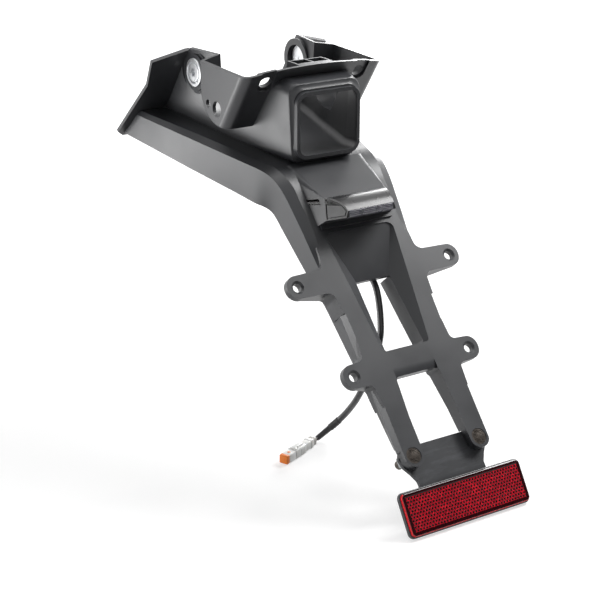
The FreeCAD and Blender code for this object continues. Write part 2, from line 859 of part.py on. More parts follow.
def make_lamp_body():
    outer = lamp_profile(lamp_outline(0)).common(lamp_wedge(0))
    inner = lamp_profile(lamp_outline(lamp_wall)).common(lamp_wedge(lamp_wall))
    body = outer.cut(inner)
    body = body.cut(lens_shape(0))
    spigot = seat_box(-lamp_spigot_half, lamp_spigot_half, lamp_spigot_from, lamp_spigot_to, -4.2, 1.0)
    body = body.fuse(spigot)
    hollow = seat_box(-lamp_spigot_half + 1.4, lamp_spigot_half - 1.4, lamp_spigot_from + 1.4,
                      lamp_spigot_to - 1.4, -2.4, 4.0)
    bosses = []
    for side in (-1, 1):
        foot = seat_point(side * lamp_screw_half_pitch, seat_length / 2, 0.4)
        bosses.append(cylinder(5.4, foot, seat_normal(), 4.2))
    body = body.cut(hollow).fuse([boss.common(outer) for boss in bosses])
    grommet_hole = cylinder(cable_diameter + 2.4, grommet_point(-6), seat_normal(), 5)
    cuts = [grommet_hole]
    for side in (-1, 1):
        cuts.append(cylinder(lamp_screw, seat_point(side * lamp_screw_half_pitch, seat_length / 2, -1),
                             seat_normal(), 5))
    return body.cut(cuts).removeSplitter()


def grommet_point(out):
    return seat_point(grommet_x, seat_length / 2, out)


def make_lamp_board():
    return seat_box(-14.0, 14.0, 3.2, 10.4, 2.2, 3.4)


def make_lamp_leds():
    lights = []
    for place in (-9.0, 0.0, 9.0):
        lights.append(seat_box(place - 1.75, place + 1.75, 5.0, 8.0, 3.4, 4.9))
    return group(lights)


def make_lamp_gasket():
    """Flat foam ring on the arm's side of the seat, round the spigot."""
    border = 1.0
    outer = seat_box(-lamp_spigot_half - border, lamp_spigot_half + border, lamp_spigot_from - border,
                     lamp_spigot_to + border, -arm_wall - 0.9, -arm_wall)
    inner = seat_box(-lamp_spigot_half, lamp_spigot_half, lamp_spigot_from, lamp_spigot_to, -5, 0)
    return outer.cut(inner)


def make_lamp_screws():
    screws = []
    for side in (-1, 1):
        start = seat_point(side * lamp_screw_half_pitch, seat_length / 2,
                           -arm_wall - lamp_screw_head_height)
        head = cylinder(5.6, start, seat_normal(), lamp_screw_head_height)
        shank = cylinder(lamp_screw, start, seat_normal(), arm_wall + lamp_screw_head_height + 3.4)
        recess = hexagon_bar(2.0, start - seat_normal() * 0.5, seat_normal(), 1.4)
        screws.append(head.fuse(shank).cut(recess).removeSplitter())
    return group(screws)


def make_cable_grommet():
    """Rubber sleeve in the back of the light, tilted the way the cable leaves."""
    collar = cylinder(cable_diameter + 4.6, grommet_point(-5.4), seat_normal(), 1.2)
    neck = cylinder(cable_diameter + 2.4, grommet_point(-4.6), seat_normal(), 2.8)
    tail = cylinder(cable_diameter + 2.4, grommet_point(-9.0), seat_normal(), 4.0)
    return collar.fuse([neck, tail]).removeSplitter()


# Upper housing

def duct_half(y, z):
    return duct_half_width + duct_flare * y + duct_lean * z


def duct_section(y, low, high, radius, inset):
    """Rounded section of the duct at a place along the bike."""
    corners = [
        Vector(-duct_half(y, low) + inset, y, low),
        Vector(duct_half(y, low) - inset, y, low),
        Vector(duct_half(y, high) - inset, y, high),
        Vector(-duct_half(y, high) + inset, y, high),
    ]
    return rounded_wire(corners, [radius] * 4)


def rim_section(y, inset):
    half = mouth_half_width - inset
    low = mouth_low + inset
    high = mouth_high - inset
    corners = [Vector(-half, y, low), Vector(half, y, low), Vector(half, y, high), Vector(-half, y, high)]
    return rounded_wire(corners, [mouth_corner - inset] * 4)


def band_plane(z, inset):
    """Place of the leaning rear band at a height, moved inward by a wall."""
    return -band_behind - tangent(band_lean) * z + inset / math.cos(math.radians(band_lean))


def plate_plane(z):
    return plate_ahead - tangent(plate_lean) * z


def wing_section(x, inset, top):
    """Side view outline of the wing box at a place across the bike."""
    front = wing_front + wing_return * (wing_half_width - x)
    shift = front - wing_front
    radius = wing_radius - inset
    centre = Vector(x, -wing_arc_behind + shift, wing_arc_height)
    low = wing_arc_height - radius
    arc = Part.Arc(
        Vector(x, centre.y + radius, centre.z),
        Vector(x, centre.y + radius * math.cos(math.pi / 4), centre.z - radius * math.sin(math.pi / 4)),
        Vector(x, centre.y, low),
    ).toShape()
    start = Vector(x, centre.y + radius, centre.z)
    top_front = Vector(x, centre.y + radius, top)
    top_rear = Vector(x, band_plane(top, inset), top)
    low_rear = Vector(x, band_plane(low, inset), low)
    low_front = Vector(x, centre.y, low)
    return Part.Wire([
        arc,
        Part.LineSegment(low_front, low_rear).toShape(),
        Part.LineSegment(low_rear, top_rear).toShape(),
        Part.LineSegment(top_rear, top_front).toShape(),
        Part.LineSegment(top_front, start).toShape(),
    ])


def rim_cutter():
    """Everything above the arched top edge of the housing."""
    spread = 100.0
    behind = band_behind + 40.0
    radius = (wing_half_width ** 2 + rim_drop ** 2) / (2 * rim_drop)
    fall = radius - math.sqrt(radius ** 2 - spread ** 2)
    centre_height = rim_centre - rim_rise * (behind - 81.4)
    arc = Part.Arc(
        Vector(-spread, -behind, centre_height - fall),
        Vector(0, -behind, centre_height),
        Vector(spread, -behind, centre_height - fall),
    ).toShape()
    height = 90.0
    left = Vector(-spread, -behind, centre_height - fall)
    right = Vector(spread, -behind, centre_height - fall)
    lift = Vector(0, 0, height)
    face = Part.Face(Part.Wire([
        arc,
        Part.LineSegment(right, right + lift).toShape(),
        Part.LineSegment(right + lift, left + lift).toShape(),
        Part.LineSegment(left + lift, left).toShape(),
    ]))
    return face.extrude(Vector(0, 200, 200 * rim_rise))


def housing_floor_height(y):
    return arm_top(y) + shell


def make_front_plate():
    """Right front plate, leaning like the subframe's rear face."""
    outline = (
        (44.5, 14.4),
        (47.8, 14.0),
        (72.4, 7.8),
        (69.9, -11.0),
        (82.0, -47.0),
        (77.5, -50.2),
        (62.0, -50.2),
        (58.0, -34.5),
        (44.5, -31.0),
    )
    points = [Vector(x, plate_plane(z), z) for x, z in outline]
    out = Vector(0, math.cos(math.radians(plate_lean)), math.sin(math.radians(plate_lean)))
    return face_of(points).extrude(out * plate_wall)


def make_bridge():
    """Two open cells behind the middle of the rear band."""
    top = 60.0
    profile = (
        (band_plane(bridge_low, 1.0), bridge_low),
        (band_plane(bridge_low, 1.0) + bridge_length - 2, bridge_low),
        (band_plane(rim_centre, 0) + bridge_length + 5.5, rim_centre - 1.2),
        (band_plane(rim_centre, 0) + bridge_length + 5.5, rim_centre),
        (band_plane(rim_centre, 1.0), rim_centre),
    )
    solid = side_prism(profile, bridge_half_width)
    cells = []
    for side in (-1, 1):
        inner = bridge_wall / 2 if side > 0 else -bridge_half_width + bridge_wall
        outer = bridge_half_width - bridge_wall if side > 0 else -bridge_wall / 2
        rear = band_plane(rim_centre, shell) + 4.4
        front = band_plane(rim_centre, 0) + bridge_length + 5.5 - bridge_wall
        cells.append(block(inner, outer, rear, front, bridge_low + 4.5, top))
    return solid.cut(cells)


def wing_rear_edges(wing, inset):
    """The upright edges where the wing meets the leaning rear band, for a wing moved inward by a wall."""
    edges = []
    for edge in wing.Edges:
        ends = [vertex.Point for vertex in edge.Vertexes]
        on_wing = all(abs(end.x - wing_half_width + inset) < 0.01 for end in ends)
        on_band = all(abs(end.y - band_plane(end.z, inset)) < 0.01 for end in ends)
        if on_wing and on_band:
            edges.append(edge)
    return edges


def wing_low_edges(wing):
    """The curved lower edges of the wing's side face."""
    return [edge for edge in wing.Edges
            if all(abs(vertex.Point.x - wing_half_width) < 0.01 and vertex.Point.z < wing_arc_height + 0.1
                   for vertex in edge.Vertexes)]


def under_arm_top():
    """Everything under the arm's top plane, from the shoulder to past the front."""
    rear = meeting.y
    front = 90.0
    return side_prism((
        (rear, arm_top(rear)), (front, arm_top(front)),
        (front, arm_top(rear) - 60), (rear, arm_top(rear) - 60),
    ), 120)


side_outside = duct_half(0, 0) + side_boss_rise
side_inside = duct_half(0, 0) - shell + side_nut_sink


def flange_pocket(side, growth, depth_from, depth_to):
    """A flat block round one flange hole, by its depth below the rear band's face."""
    up = Vector(0, -math.sin(math.radians(band_lean)), math.cos(math.radians(band_lean)))
    inward = Vector(0, math.cos(math.radians(band_lean)), math.sin(math.radians(band_lean)))
    centre = Vector(0, band_plane(flange_hole_height, 0), flange_hole_height)
    near = flange_half_pitch - flange_hole / 2 - 0.3 - growth
    far = flange_half_pitch + flange_hole / 2 + 1.2 + growth
    low = -flange_hole / 2 - 1.7 - growth
    outline = rounded_wire(
        [centre + Vector(side * x, 0, 0) + up * b + inward * depth_from
         for x, b in ((near, 24), (near, low), (far, low), (far, 24))],
        [0, 3, 4.5, 0],
    )
    return Part.Face(outline).extrude(inward * (depth_to - depth_from))


def make_housing():
    rim = loft([rim_section(-mouth_behind, 0), rim_section(-mouth_behind + mouth_lip + 2, 0)])
    stations = (
        (mouth_lip, 2.6, 1.2),
        (mouth_lip + 1.4, 1.6, 2.6),
        (mouth_lip + 2.0, 0.4, 4.4),
        (mouth_lip + 3.0, 0.0, 5.2),
        (15.5, 0.0, hood_top - mouth_high - 0.2),
        (36.5, 0.0, hood_top - mouth_high + 0.6),
        (66.5, 0.0, 25.6),
        (152.5, 0.0, 33.6),
    )
    duct = loft([
        duct_section(-mouth_behind + ahead, duct_floor + inset, mouth_high + rise, mouth_corner, inset)
        for ahead, inset, rise in stations
    ])
    wing = loft([wing_section(0, 0, 24.0), wing_section(wing_half_width, 0, 24.0)])
    wing = wing.makeFillet(wing_corner, wing_rear_edges(wing, 0))
    wing = wing.makeFillet(wing_edge, wing_low_edges(wing))
    front_space = side_prism((
        (plate_plane(60), 60), (plate_plane(-90), -90), (-200, -90), (-200, 60),
    ), 120)
    outer = duct.fuse([rim] + pair(wing)).common(front_space).cut(under_arm_top())

    throat = loft([
        rim_section(-mouth_behind - 1, mouth_rim),
        rim_section(-mouth_behind + 1.5, mouth_rim),
    ])
    passage = loft([
        rim_section(-mouth_behind + 1.4, mouth_rim),
        duct_section(-80.0, housing_floor_height(-80.0), hood_top - shell, mouth_corner - shell, shell),
        duct_section(-36.0, housing_floor_height(-36.0), hood_top - shell, mouth_corner - shell, shell),
    ])
    tray = loft([
        duct_section(-92.0, housing_floor_height(-92.0), 70.0, mouth_corner - shell, shell),
        duct_section(70.0, housing_floor_height(70.0), 80.0, mouth_corner - shell, shell),
    ])
    ahead_of_band = side_prism((
        (band_plane(90, shell), 90), (band_plane(-80, shell), -80), (120, -80), (120, 90),
    ), 120)
    tray = tray.common(ahead_of_band)
    wing_room = loft([wing_section(0, shell, 60.0), wing_section(wing_half_width - shell, shell, 60.0)])
    wing_room = wing_room.makeFillet(wing_corner - shell, wing_rear_edges(wing_room, shell))
    cuts = [throat, passage, tray] + pair(wing_room)
    cuts.append(rim_cutter())
    housing = outer.cut(cuts)
    pads = [flange_pocket(side, shell / 2, shell / 2, shell + pocket_depth) for side in (-1, 1)]
    inserts = [insert.cut(rim_cutter()) for insert in pads + [make_bridge()]]
    housing = housing.fuse(pair(make_front_plate()) + inserts)
    bosses = []
    for point, up in joint_points():
        bosses.append(cylinder(joint_boss, point, up, joint_boss_height))
    for side in (-1, 1):
        wall_at = duct_half(0, 0)
        start = Vector(side * (wall_at - shell), 0, 0)
        bosses.append(cylinder(side_boss, start, Vector(side, 0, 0), shell + side_boss_rise))
        collar = cylinder(side_collar, start - Vector(side * side_collar_rise, 0, 0), Vector(side, 0, 0),
                          side_collar_rise + shell)
        bosses.append(collar.cut(rim_cutter()))
    housing = housing.fuse(bosses)
    housing = housing.cut([arm_envelope(), from_ladder(fairing_outside())] + housing_holes())
    return housing.removeSplitter()


def housing_holes():
    holes = []
    out = Vector(0, math.cos(math.radians(band_lean)), math.sin(math.radians(band_lean)))
    for side in (-1, 1):
        centre = Vector(side * flange_half_pitch, band_plane(flange_hole_height, 0), flange_hole_height)
        holes.append(cylinder(flange_hole, centre - out * 10, out, 20))
        holes.append(flange_pocket(side, 0, -1, pocket_depth))
        for (y, z), diameter in ((wing_large_at, wing_hole_large), (wing_small_at, wing_hole_small)):
            start = Vector(side * (wing_half_width - 8), y, z)
            holes.append(cylinder(diameter, start, Vector(side, 0, 0), 16))
        start = Vector(side * (duct_half_width - 12), 0, 0)
        holes.append(cylinder(side_nut_barrel + side_clearance, start, Vector(side, 0, 0), 24))
        outside = Vector(side * side_outside, 0, 0)
        holes.append(cylinder(side_boss + 4, outside, Vector(side, 0, 0), 8))
        seat = Vector(side * (side_outside - side_washer_sink), 0, 0)
        holes.append(cylinder(side_washer + side_clearance, seat, Vector(side, 0, 0), 8))
        inside = Vector(side * side_inside, 0, 0)
        holes.append(cylinder(side_nut_flange + 1.0, inside, Vector(-side, 0, 0), 8))
    for point, up in joint_points():
        holes.append(cylinder(joint_screw - 0.8, point - up * 4, up, joint_length + 2))
    return holes


# Side fastenings

side_washer_seat = side_outside - side_washer_sink
side_head_seat = side_washer_seat + side_washer_wall - side_head_height


def outer_ring_edge(shape, place):
    """The round edges of a shape that lie in one plane across the bike."""
    return [edge for edge in shape.Edges if abs(abs(edge.BoundBox.XMin) - place) < 0.01
            and abs(abs(edge.BoundBox.XMax) - place) < 0.01]


def make_side_washers():
    """Round washers, each with a recess that takes the head of its screw."""
    washers = []
    for side in (-1, 1):
        axis = Vector(side, 0, 0)
        start = Vector(side * side_washer_seat, 0, 0)
        ring = cylinder(side_washer, start, axis, side_washer_wall)
        ring = ring.makeChamfer(0.4, outer_ring_edge(ring, side_washer_seat + side_washer_wall))
        hole = cylinder(side_screw + side_clearance, start - axis, axis, side_washer_wall + 2)
        recess = cylinder(side_head + 2 * side_groove, Vector(side * side_head_seat, 0, 0), axis, 4)
        washers.append(ring.cut([hole, recess]))
    return group(washers)


def make_side_screws():
    """Screws with a low round head, a six-lobed socket and a short shank."""
    screws = []
    for side in (-1, 1):
        axis = Vector(side, 0, 0)
        seat = Vector(side * side_head_seat, 0, 0)
        head = cylinder(side_head, seat, axis, side_head_height)
        head = head.makeFillet(0.5, outer_ring_edge(head, side_head_seat + side_head_height))
        length = side_head_seat - side_inside + side_nut_wall - 0.3
        shank = cylinder(side_screw, seat - axis * length, axis, length)
        recess = six_lobe_bar(side_recess, seat - axis * 1.2, axis, 5)
        screws.append(head.fuse(shank).cut(recess).removeSplitter())
    return group(screws)


def make_side_nuts():
    nuts = []
    for side in (-1, 1):
        axis = Vector(side, 0, 0)
        start = Vector(side * (side_inside - side_nut_wall), 0, 0)
        flange = cylinder(side_nut_flange, start, axis, side_nut_wall)
        barrel = cylinder(side_nut_barrel, start, axis, side_nut_wall + side_washer_seat - side_inside)
        bore = cylinder(side_screw, start + axis * 0.3, axis, 20)
        eye = cylinder(3.0, start - axis, axis, 4)
        nuts.append(flange.fuse(barrel).cut([bore, eye]).removeSplitter())
    return group(nuts)


# Joint screws, from below the arm

def make_joint_screws():
    screws = []
    for point, up in joint_points():
        seat = point - up * (arm_wall + 0.02)
        head = cylinder(joint_head, seat - up * joint_head_height, up, joint_head_height)
        shank = cylinder(joint_screw - 0.8, seat, up, arm_wall + joint_length - 2)
        recess = hexagon_bar(3.0, seat - up * (joint_head_height + 0.2), up, 1.8)
        screws.append(head.fuse(shank).cut(recess).removeSplitter())
    return group(screws)


# Bracket, reflector and their fasteners

reflector_origin = (ladder_origin - direction_at(ladder_tilt) * reflector_below_screws
                    - normal_at(ladder_tilt) * reflector_sink)
reflector_place = FreeCAD.Placement(reflector_origin, FreeCAD.Rotation(Vector(1, 0, 0), reflector_tilt))


def from_reflector(shape):
    result = shape.copy()
    result.transformShape(reflector_place.toMatrix(), True)
    return result


def reflector_back():
    """Start and direction of the reflector's back plane in the ladder's side view."""
    turn = math.radians(reflector_tilt - ladder_tilt)
    offset = reflector_origin - ladder_origin
    along = offset.dot(direction_at(ladder_tilt))
    out = offset.dot(normal_at(ladder_tilt))
    direction = Vector(0, math.cos(turn), math.sin(turn))
    normal = Vector(0, -math.sin(turn), math.cos(turn))
    return Vector(0, along, out) - normal * base_depth, direction, normal


def make_reflector_bracket():
    start, direction, normal = reflector_back()
    front = -rail_tip_depth
    bend = start + direction * ((front - start.z) / direction.z)
    low = start + direction * ((bracket_low - start.y) / direction.y)
    half_turn = tangent((reflector_tilt - ladder_tilt) / 2)
    rear_bend = bend + Vector(0, bracket_wall * half_turn, -bracket_wall)
    points = [
        Vector(-40, bracket_top, front),
        Vector(-40, bend.y, bend.z),
        Vector(-40, low.y, low.z),
        Vector(-40, low.y, low.z) - normal * bracket_wall,
        Vector(-40, rear_bend.y, rear_bend.z),
        Vector(-40, bracket_top, front - bracket_wall),
    ]
    strip = face_of(points).extrude(Vector(80, 0, 0))
    right = ((31.0, bracket_top), (34.4, 1.2), (32.6, -5.3), (29.3, -10.0), (26.4, -15.4),
             (26.6, bracket_low))
    corners = [Vector(x, s, -30) for x, s in right]
    corners += [Vector(-x, s, -30) for x, s in reversed(right)]
    wire = rounded_wire(corners, [3, 2, 2, 4, 4, 3, 3, 4, 4, 2, 2, 3])
    outline = Part.Face(wire).extrude(Vector(0, 0, 40))
    sheet = from_ladder(strip.common(outline))
    holes = []
    for side in (-1, 1):
        centre = Vector(side * screw_half_pitch, 0, -20)
        holes.append(from_ladder(cylinder(bracket_screw_hole, centre, Vector(0, 0, 1), 30)))
        centre = Vector(side * stud_half_pitch, 0, -20)
        holes.append(from_reflector(cylinder(stud + 0.5, centre, Vector(0, 0, 1), 15)))
    return sheet.cut(holes)


def make_bracket_screws():
    screws = []
    head_depth = (bracket_screw_head - bracket_screw) / 2
    length = rail_tip_depth + bracket_wall + nut_height + 1.0
    for side in (-1, 1):
        centre = Vector(side * screw_half_pitch, 0, 0)
        top = centre - Vector(0, 0, 0.4)
        head = Part.makeCone(bracket_screw / 2, bracket_screw_head / 2 - 0.1, head_depth - 0.1,
                             top - Vector(0, 0, head_depth - 0.1), Vector(0, 0, 1))
        shank = cylinder(bracket_screw, centre - Vector(0, 0, length), Vector(0, 0, 1), length - head_depth)
        socket = hexagon_bar(bracket_hex, centre - Vector(0, 0, 2.4), Vector(0, 0, 1), 4)
        screws.append(from_ladder(head.fuse(shank).cut(socket).removeSplitter()))
    return group(screws)


def make_bracket_nuts():
    nuts = []
    back = rail_tip_depth + bracket_wall
    for side in (-1, 1):
        start = Vector(side * screw_half_pitch, 0, -back - nut_height)
        nut = hexagon_bar(nut_width, start, Vector(0, 0, 1), nut_height)
        bore = cylinder(bracket_screw, start - Vector(0, 0, 1), Vector(0, 0, 1), nut_height + 2)
        nuts.append(from_ladder(nut.cut(bore)))
    return group(nuts)


def reflector_plate(width, height, radius, out_from, out_to):
    corners = [
        Vector(-width / 2, -height / 2, out_from),
        Vector(width / 2, -height / 2, out_from),
        Vector(width / 2, height / 2, out_from),
        Vector(-width / 2, height / 2, out_from),
    ]
    return Part.Face(rounded_wire(corners, [radius] * 4)).extrude(Vector(0, 0, out_to - out_from))


def make_reflector_lens():
    lens = reflector_plate(lens_width, lens_height, 3.0, -lens_wall, 0)
    front = [edge for edge in lens.Edges if abs(edge.CenterOfMass.z) < 0.001]
    return from_reflector(lens.makeChamfer(0.5, front))


def make_reflector_base():
    base = reflector_plate(lens_width + 2 * base_rim, lens_height + 2 * base_rim, 3.9,
                           -base_rim_drop - base_wall, -base_rim_drop)
    pad = reflector_plate(pad_width, pad_height, 4.0, -base_depth, -base_rim_drop - base_wall + 0.5)
    pocket = reflector_plate(lens_width, lens_height, 3.0, -lens_wall, 1)
    studs = []
    for side in (-1, 1):
        start = Vector(side * stud_half_pitch, 0, -base_depth - bracket_wall - stud_nut_height - 1.5)
        studs.append(cylinder(stud, start, Vector(0, 0, 1), bracket_wall + stud_nut_height + 1.5 + 0.5))
    front = [edge for edge in base.Edges if abs(edge.CenterOfMass.z + base_rim_drop) < 0.001]
    body = base.makeChamfer(0.4, front).fuse(pad)
    return from_reflector(body.cut(pocket).fuse(studs).removeSplitter())


def make_reflector_nuts():
    nuts = []
    for side in (-1, 1):
        start = Vector(side * stud_half_pitch, 0, -base_depth - bracket_wall - stud_nut_height)
        nut = hexagon_bar(stud_nut_width, start, Vector(0, 0, 1), stud_nut_height)
        bore = cylinder(stud, start - Vector(0, 0, 1), Vector(0, 0, 1), stud_nut_height + 2)
        nuts.append(from_reflector(nut.cut(bore)))
    return group(nuts)


# Cable, wires and plug

def cable_path():
    """Straight runs joined by tangent arcs, each as large as its two runs allow."""
    edges = []
    here = cable_route[0]
    for index in range(1, len(cable_route) - 1):
        corner = cable_route[index]
        back = cable_route[index - 1] - corner
        ahead = cable_route[index + 1] - corner
        turn = math.pi - back.getAngle(ahead)
        shorter = min(back.Length, ahead.Length)
        radius = 0.45 * shorter / math.tan(turn / 2)
        print("cable radius at point", index, round(radius, 1), "=", round(radius / cable_diameter, 1),
              "diameters")
        start = corner + unit(back) * (0.45 * shorter)
        end = corner + unit(ahead) * (0.45 * shorter)
        bisector = unit(unit(back) + unit(ahead))
        middle = corner + bisector * (radius / math.cos(turn / 2) - radius)
        edges.append(Part.LineSegment(here, start).toShape())
        edges.append(Part.Arc(start, middle, end).toShape())
        here = end
    edges.append(Part.LineSegment(here, cable_route[-1]).toShape())
    return Part.Wire(edges)


def make_cable():
    path = cable_path()
    heading = cable_route[1] - cable_route[0]
    ring = Part.Wire(Part.makeCircle(cable_diameter / 2, cable_route[0], unit(heading)))
    tube = path.makePipeShell([ring], True, True, 2)
    expected = math.pi * cable_diameter ** 2 / 4 * path.Length
    print("cable length", round(path.Length, 1), "volume", round(tube.Volume, 1), "expected",
          round(expected, 1))
    return tube


def plug_point(along, side, up):
    across = Vector(-plug_axis.y, plug_axis.x, 0)
    return plug_start + plug_axis * along + unit(across) * side + Vector(0, 0, up)


def plug_box(along_from, along_to, half_width, low, high):
    corners = [
        plug_point(along_from, -half_width, low),
        plug_point(along_to, -half_width, low),
        plug_point(along_to, half_width, low),
        plug_point(along_from, half_width, low),
    ]
    return face_of(corners).extrude(Vector(0, 0, high - low))


def make_wire(side):
    """One of the two wires between the sleeve's end and the plug."""
    end = plug_point(-0.15, side * wire_half_pitch, 0)
    sleeve_end = cable_route[-1] + unit(cable_route[-1] - cable_route[-2]) * 0.8
    start = sleeve_end + (plug_point(0, side * wire_half_pitch, 0) - plug_point(0, 0, 0))
    return cylinder(wire_diameter, start, end - start, (end - start).Length)


def make_plug_seal():
    """Wire seal and narrow rear part of the plug."""
    return plug_box(0, 4.0, plug_width * 0.36, -plug_height * 0.36, plug_height * 0.36)


def make_plug_body():
    half = plug_width / 2
    low = -plug_height / 2
    rear = plug_box(4.0, 14.0, half * 0.86, low * 0.86, -low * 0.86)
    middle = plug_box(13.0, 27.0, half, low, -low)
    front = plug_box(26.0, plug_length - 3.0, half * 0.92, low, -low * 0.86)
    latch = plug_box(15.0, 26.0, half * 0.4, -low - 0.5, -low + 1.0)
    window = plug_box(17.5, 20.5, half + 1, -1.2, 1.2)
    return rear.fuse([middle, front, latch]).cut(window).removeSplitter()


def make_plug_lock():
    """Orange lock at the mating end of the plug."""
    half = plug_width / 2
    low = -plug_height / 2
    return plug_box(plug_length - 3.0, plug_length, half * 0.92, low, -low * 0.86)


# Sub-parts

parts = {
    "support_arm": make_support_arm,
    "housing": make_housing,
    "side_washers": make_side_washers,
    "side_screws": make_side_screws,
    "side_nuts": make_side_nuts,
    "joint_screws": make_joint_screws,
    "plate_light_body": lambda: from_ladder(make_lamp_body()),
    "plate_light_lens": lambda: from_ladder(lens_shape(0)),
    "light_board": lambda: from_ladder(make_lamp_board()),
    "light_leds": lambda: from_ladder(make_lamp_leds()),
    "light_gasket": lambda: from_ladder(make_lamp_gasket()),
    "light_screws": lambda: from_ladder(make_lamp_screws()),
    "cable_grommet": lambda: from_ladder(make_cable_grommet()),
    "cable": make_cable,
    "wire_red": lambda: make_wire(-1),
    "wire_dark": lambda: make_wire(1),
    "plug_seal": make_plug_seal,
    "plug_body": make_plug_body,
    "plug_lock": make_plug_lock,
    "reflector_bracket": make_reflector_bracket,
    "bracket_screws": make_bracket_screws,
    "bracket_nuts": make_bracket_nuts,
    "reflector_base": make_reflector_base,
    "reflector_lens": make_reflector_lens,
    "reflector_nuts": make_reflector_nuts,
}

os.makedirs("parts", exist_ok=True)
for name, make in parts.items():
    shape = make()
    shape.exportStep("parts/" + name + ".step")
    box = shape.BoundBox
    limits = (box.XMin, box.XMax, box.YMin, box.YMax, box.ZMin, box.ZMax)
    print(name, "solids", len(shape.Solids), "valid", shape.isValid(), "volume", round(shape.Volume, 1),
          "box", [round(value, 1) for value in limits])
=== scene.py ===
"""Tail tidy of a motorbike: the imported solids, dressed for a studio picture."""
import math

import bmesh
import bpy
from bpy.props import FloatProperty, FloatVectorProperty, PointerProperty
from mathutils import Matrix, Vector


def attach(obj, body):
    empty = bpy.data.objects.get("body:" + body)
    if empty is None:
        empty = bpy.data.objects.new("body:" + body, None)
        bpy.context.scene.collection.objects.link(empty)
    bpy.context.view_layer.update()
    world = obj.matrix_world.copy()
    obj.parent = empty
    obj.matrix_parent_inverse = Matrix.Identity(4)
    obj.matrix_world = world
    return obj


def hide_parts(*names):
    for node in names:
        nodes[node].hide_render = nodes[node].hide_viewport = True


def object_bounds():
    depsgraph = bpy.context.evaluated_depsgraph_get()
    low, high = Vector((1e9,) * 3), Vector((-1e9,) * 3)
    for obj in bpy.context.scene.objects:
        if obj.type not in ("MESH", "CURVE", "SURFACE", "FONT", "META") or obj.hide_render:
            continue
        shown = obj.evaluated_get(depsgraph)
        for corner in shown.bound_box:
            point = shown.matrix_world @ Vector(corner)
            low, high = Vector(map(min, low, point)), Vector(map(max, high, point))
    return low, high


bl_info = {
    "name": "Tail Tidy",
    "version": (1, 0, 0),
    "blender": (4, 5, 0),
    "location": "3D View > Sidebar > Tail Tidy",
    "description": "Dresses the solids of a motorbike's tail tidy: mouldings, light, cable, "
                   "bracket and reflector",
    "category": "Object",
}

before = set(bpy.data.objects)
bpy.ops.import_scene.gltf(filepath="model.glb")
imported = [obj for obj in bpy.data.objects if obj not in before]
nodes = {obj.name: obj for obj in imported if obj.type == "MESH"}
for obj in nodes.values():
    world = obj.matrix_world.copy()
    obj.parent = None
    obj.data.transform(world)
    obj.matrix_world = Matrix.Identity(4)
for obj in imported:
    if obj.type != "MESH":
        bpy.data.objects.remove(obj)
cad_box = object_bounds()
MM = 0.001
FLOOR_LEVEL = cad_box[0][2]

# The ladder arm's front plane, with X across, Y up the ladder and Z out of it
LADDER = Matrix.Translation((0, -0.2330, -0.2045)) @ Matrix.Rotation(math.radians(50.0), 4, "X")
# The reflector's front face, a little steeper than the ladder
REFLECTOR = (LADDER @ Matrix.Translation((0, -34.93 * MM, -0.85 * MM))
             @ Matrix.Rotation(math.radians(8.4), 4, "X"))
# The plug on the floor, with X towards its mating end
PLUG = (Matrix.Translation((-0.0196, -0.1109, -0.2424))
        @ Matrix.Rotation(math.radians(203.03), 4, "Z"))

# Route of the cable, the same points as in the solid model, in metres
CABLE_ROUTE = (
    (0.0070, -0.12335, -0.07302),
    (0.0070, -0.1119, -0.0778),
    (0.0071, -0.1065, -0.0900),
    (0.0073, -0.1115, -0.1045),
    (0.0076, -0.1245, -0.1135),
    (0.0080, -0.1426, -0.1217),
    (0.0036, -0.1550, -0.1396),
    (-0.0005, -0.1612, -0.1593),
    (-0.0017, -0.1412, -0.2012),
    (0.0014, -0.1194, -0.2248),
    (-0.0048, -0.1101, -0.2367),
    (-0.0163, -0.1100, -0.2425),
)


def linear(code):
    """An sRGB hex colour as linear red, green, blue and alpha."""
    channels = [int(code[index:index + 2], 16) / 255 for index in (0, 2, 4)]
    return [c / 12.92 if c <= 0.04045 else ((c + 0.055) / 1.055) ** 2.4 for c in channels] + [1.0]


def add_node(tree, kind, settings=None, **links):
    """Adds a node, sets its properties and sockets, and links other nodes to it.

    A link is named after its socket, with _ for a space, or _0, _1 and so on for its number.
    """
    node = tree.nodes.new(kind)
    for key, value in (settings or {}).items():
        if isinstance(key, int) or key in node.inputs:
            node.inputs[key].default_value = value
        else:
            setattr(node, key, value)
    for key, source in links.items():
        socket = int(key[1:]) if key[0] == "_" else key.replace("_", " ")
        tree.links.new(source, node.inputs[socket])
    return node


def link_object(name, data):
    """An object of the scene that shows a mesh, a curve, a lamp or a camera."""
    piece = bpy.data.objects.new(name, data)
    bpy.context.scene.collection.objects.link(piece)
    return piece


def mesh_object(name, shape, materials):
    """Turns a bmesh into an object of the scene with its materials."""
    mesh = bpy.data.meshes.new(name)
    shape.to_mesh(mesh)
    shape.free()
    for material in materials:
        mesh.materials.append(material)
    return link_object(name, mesh)


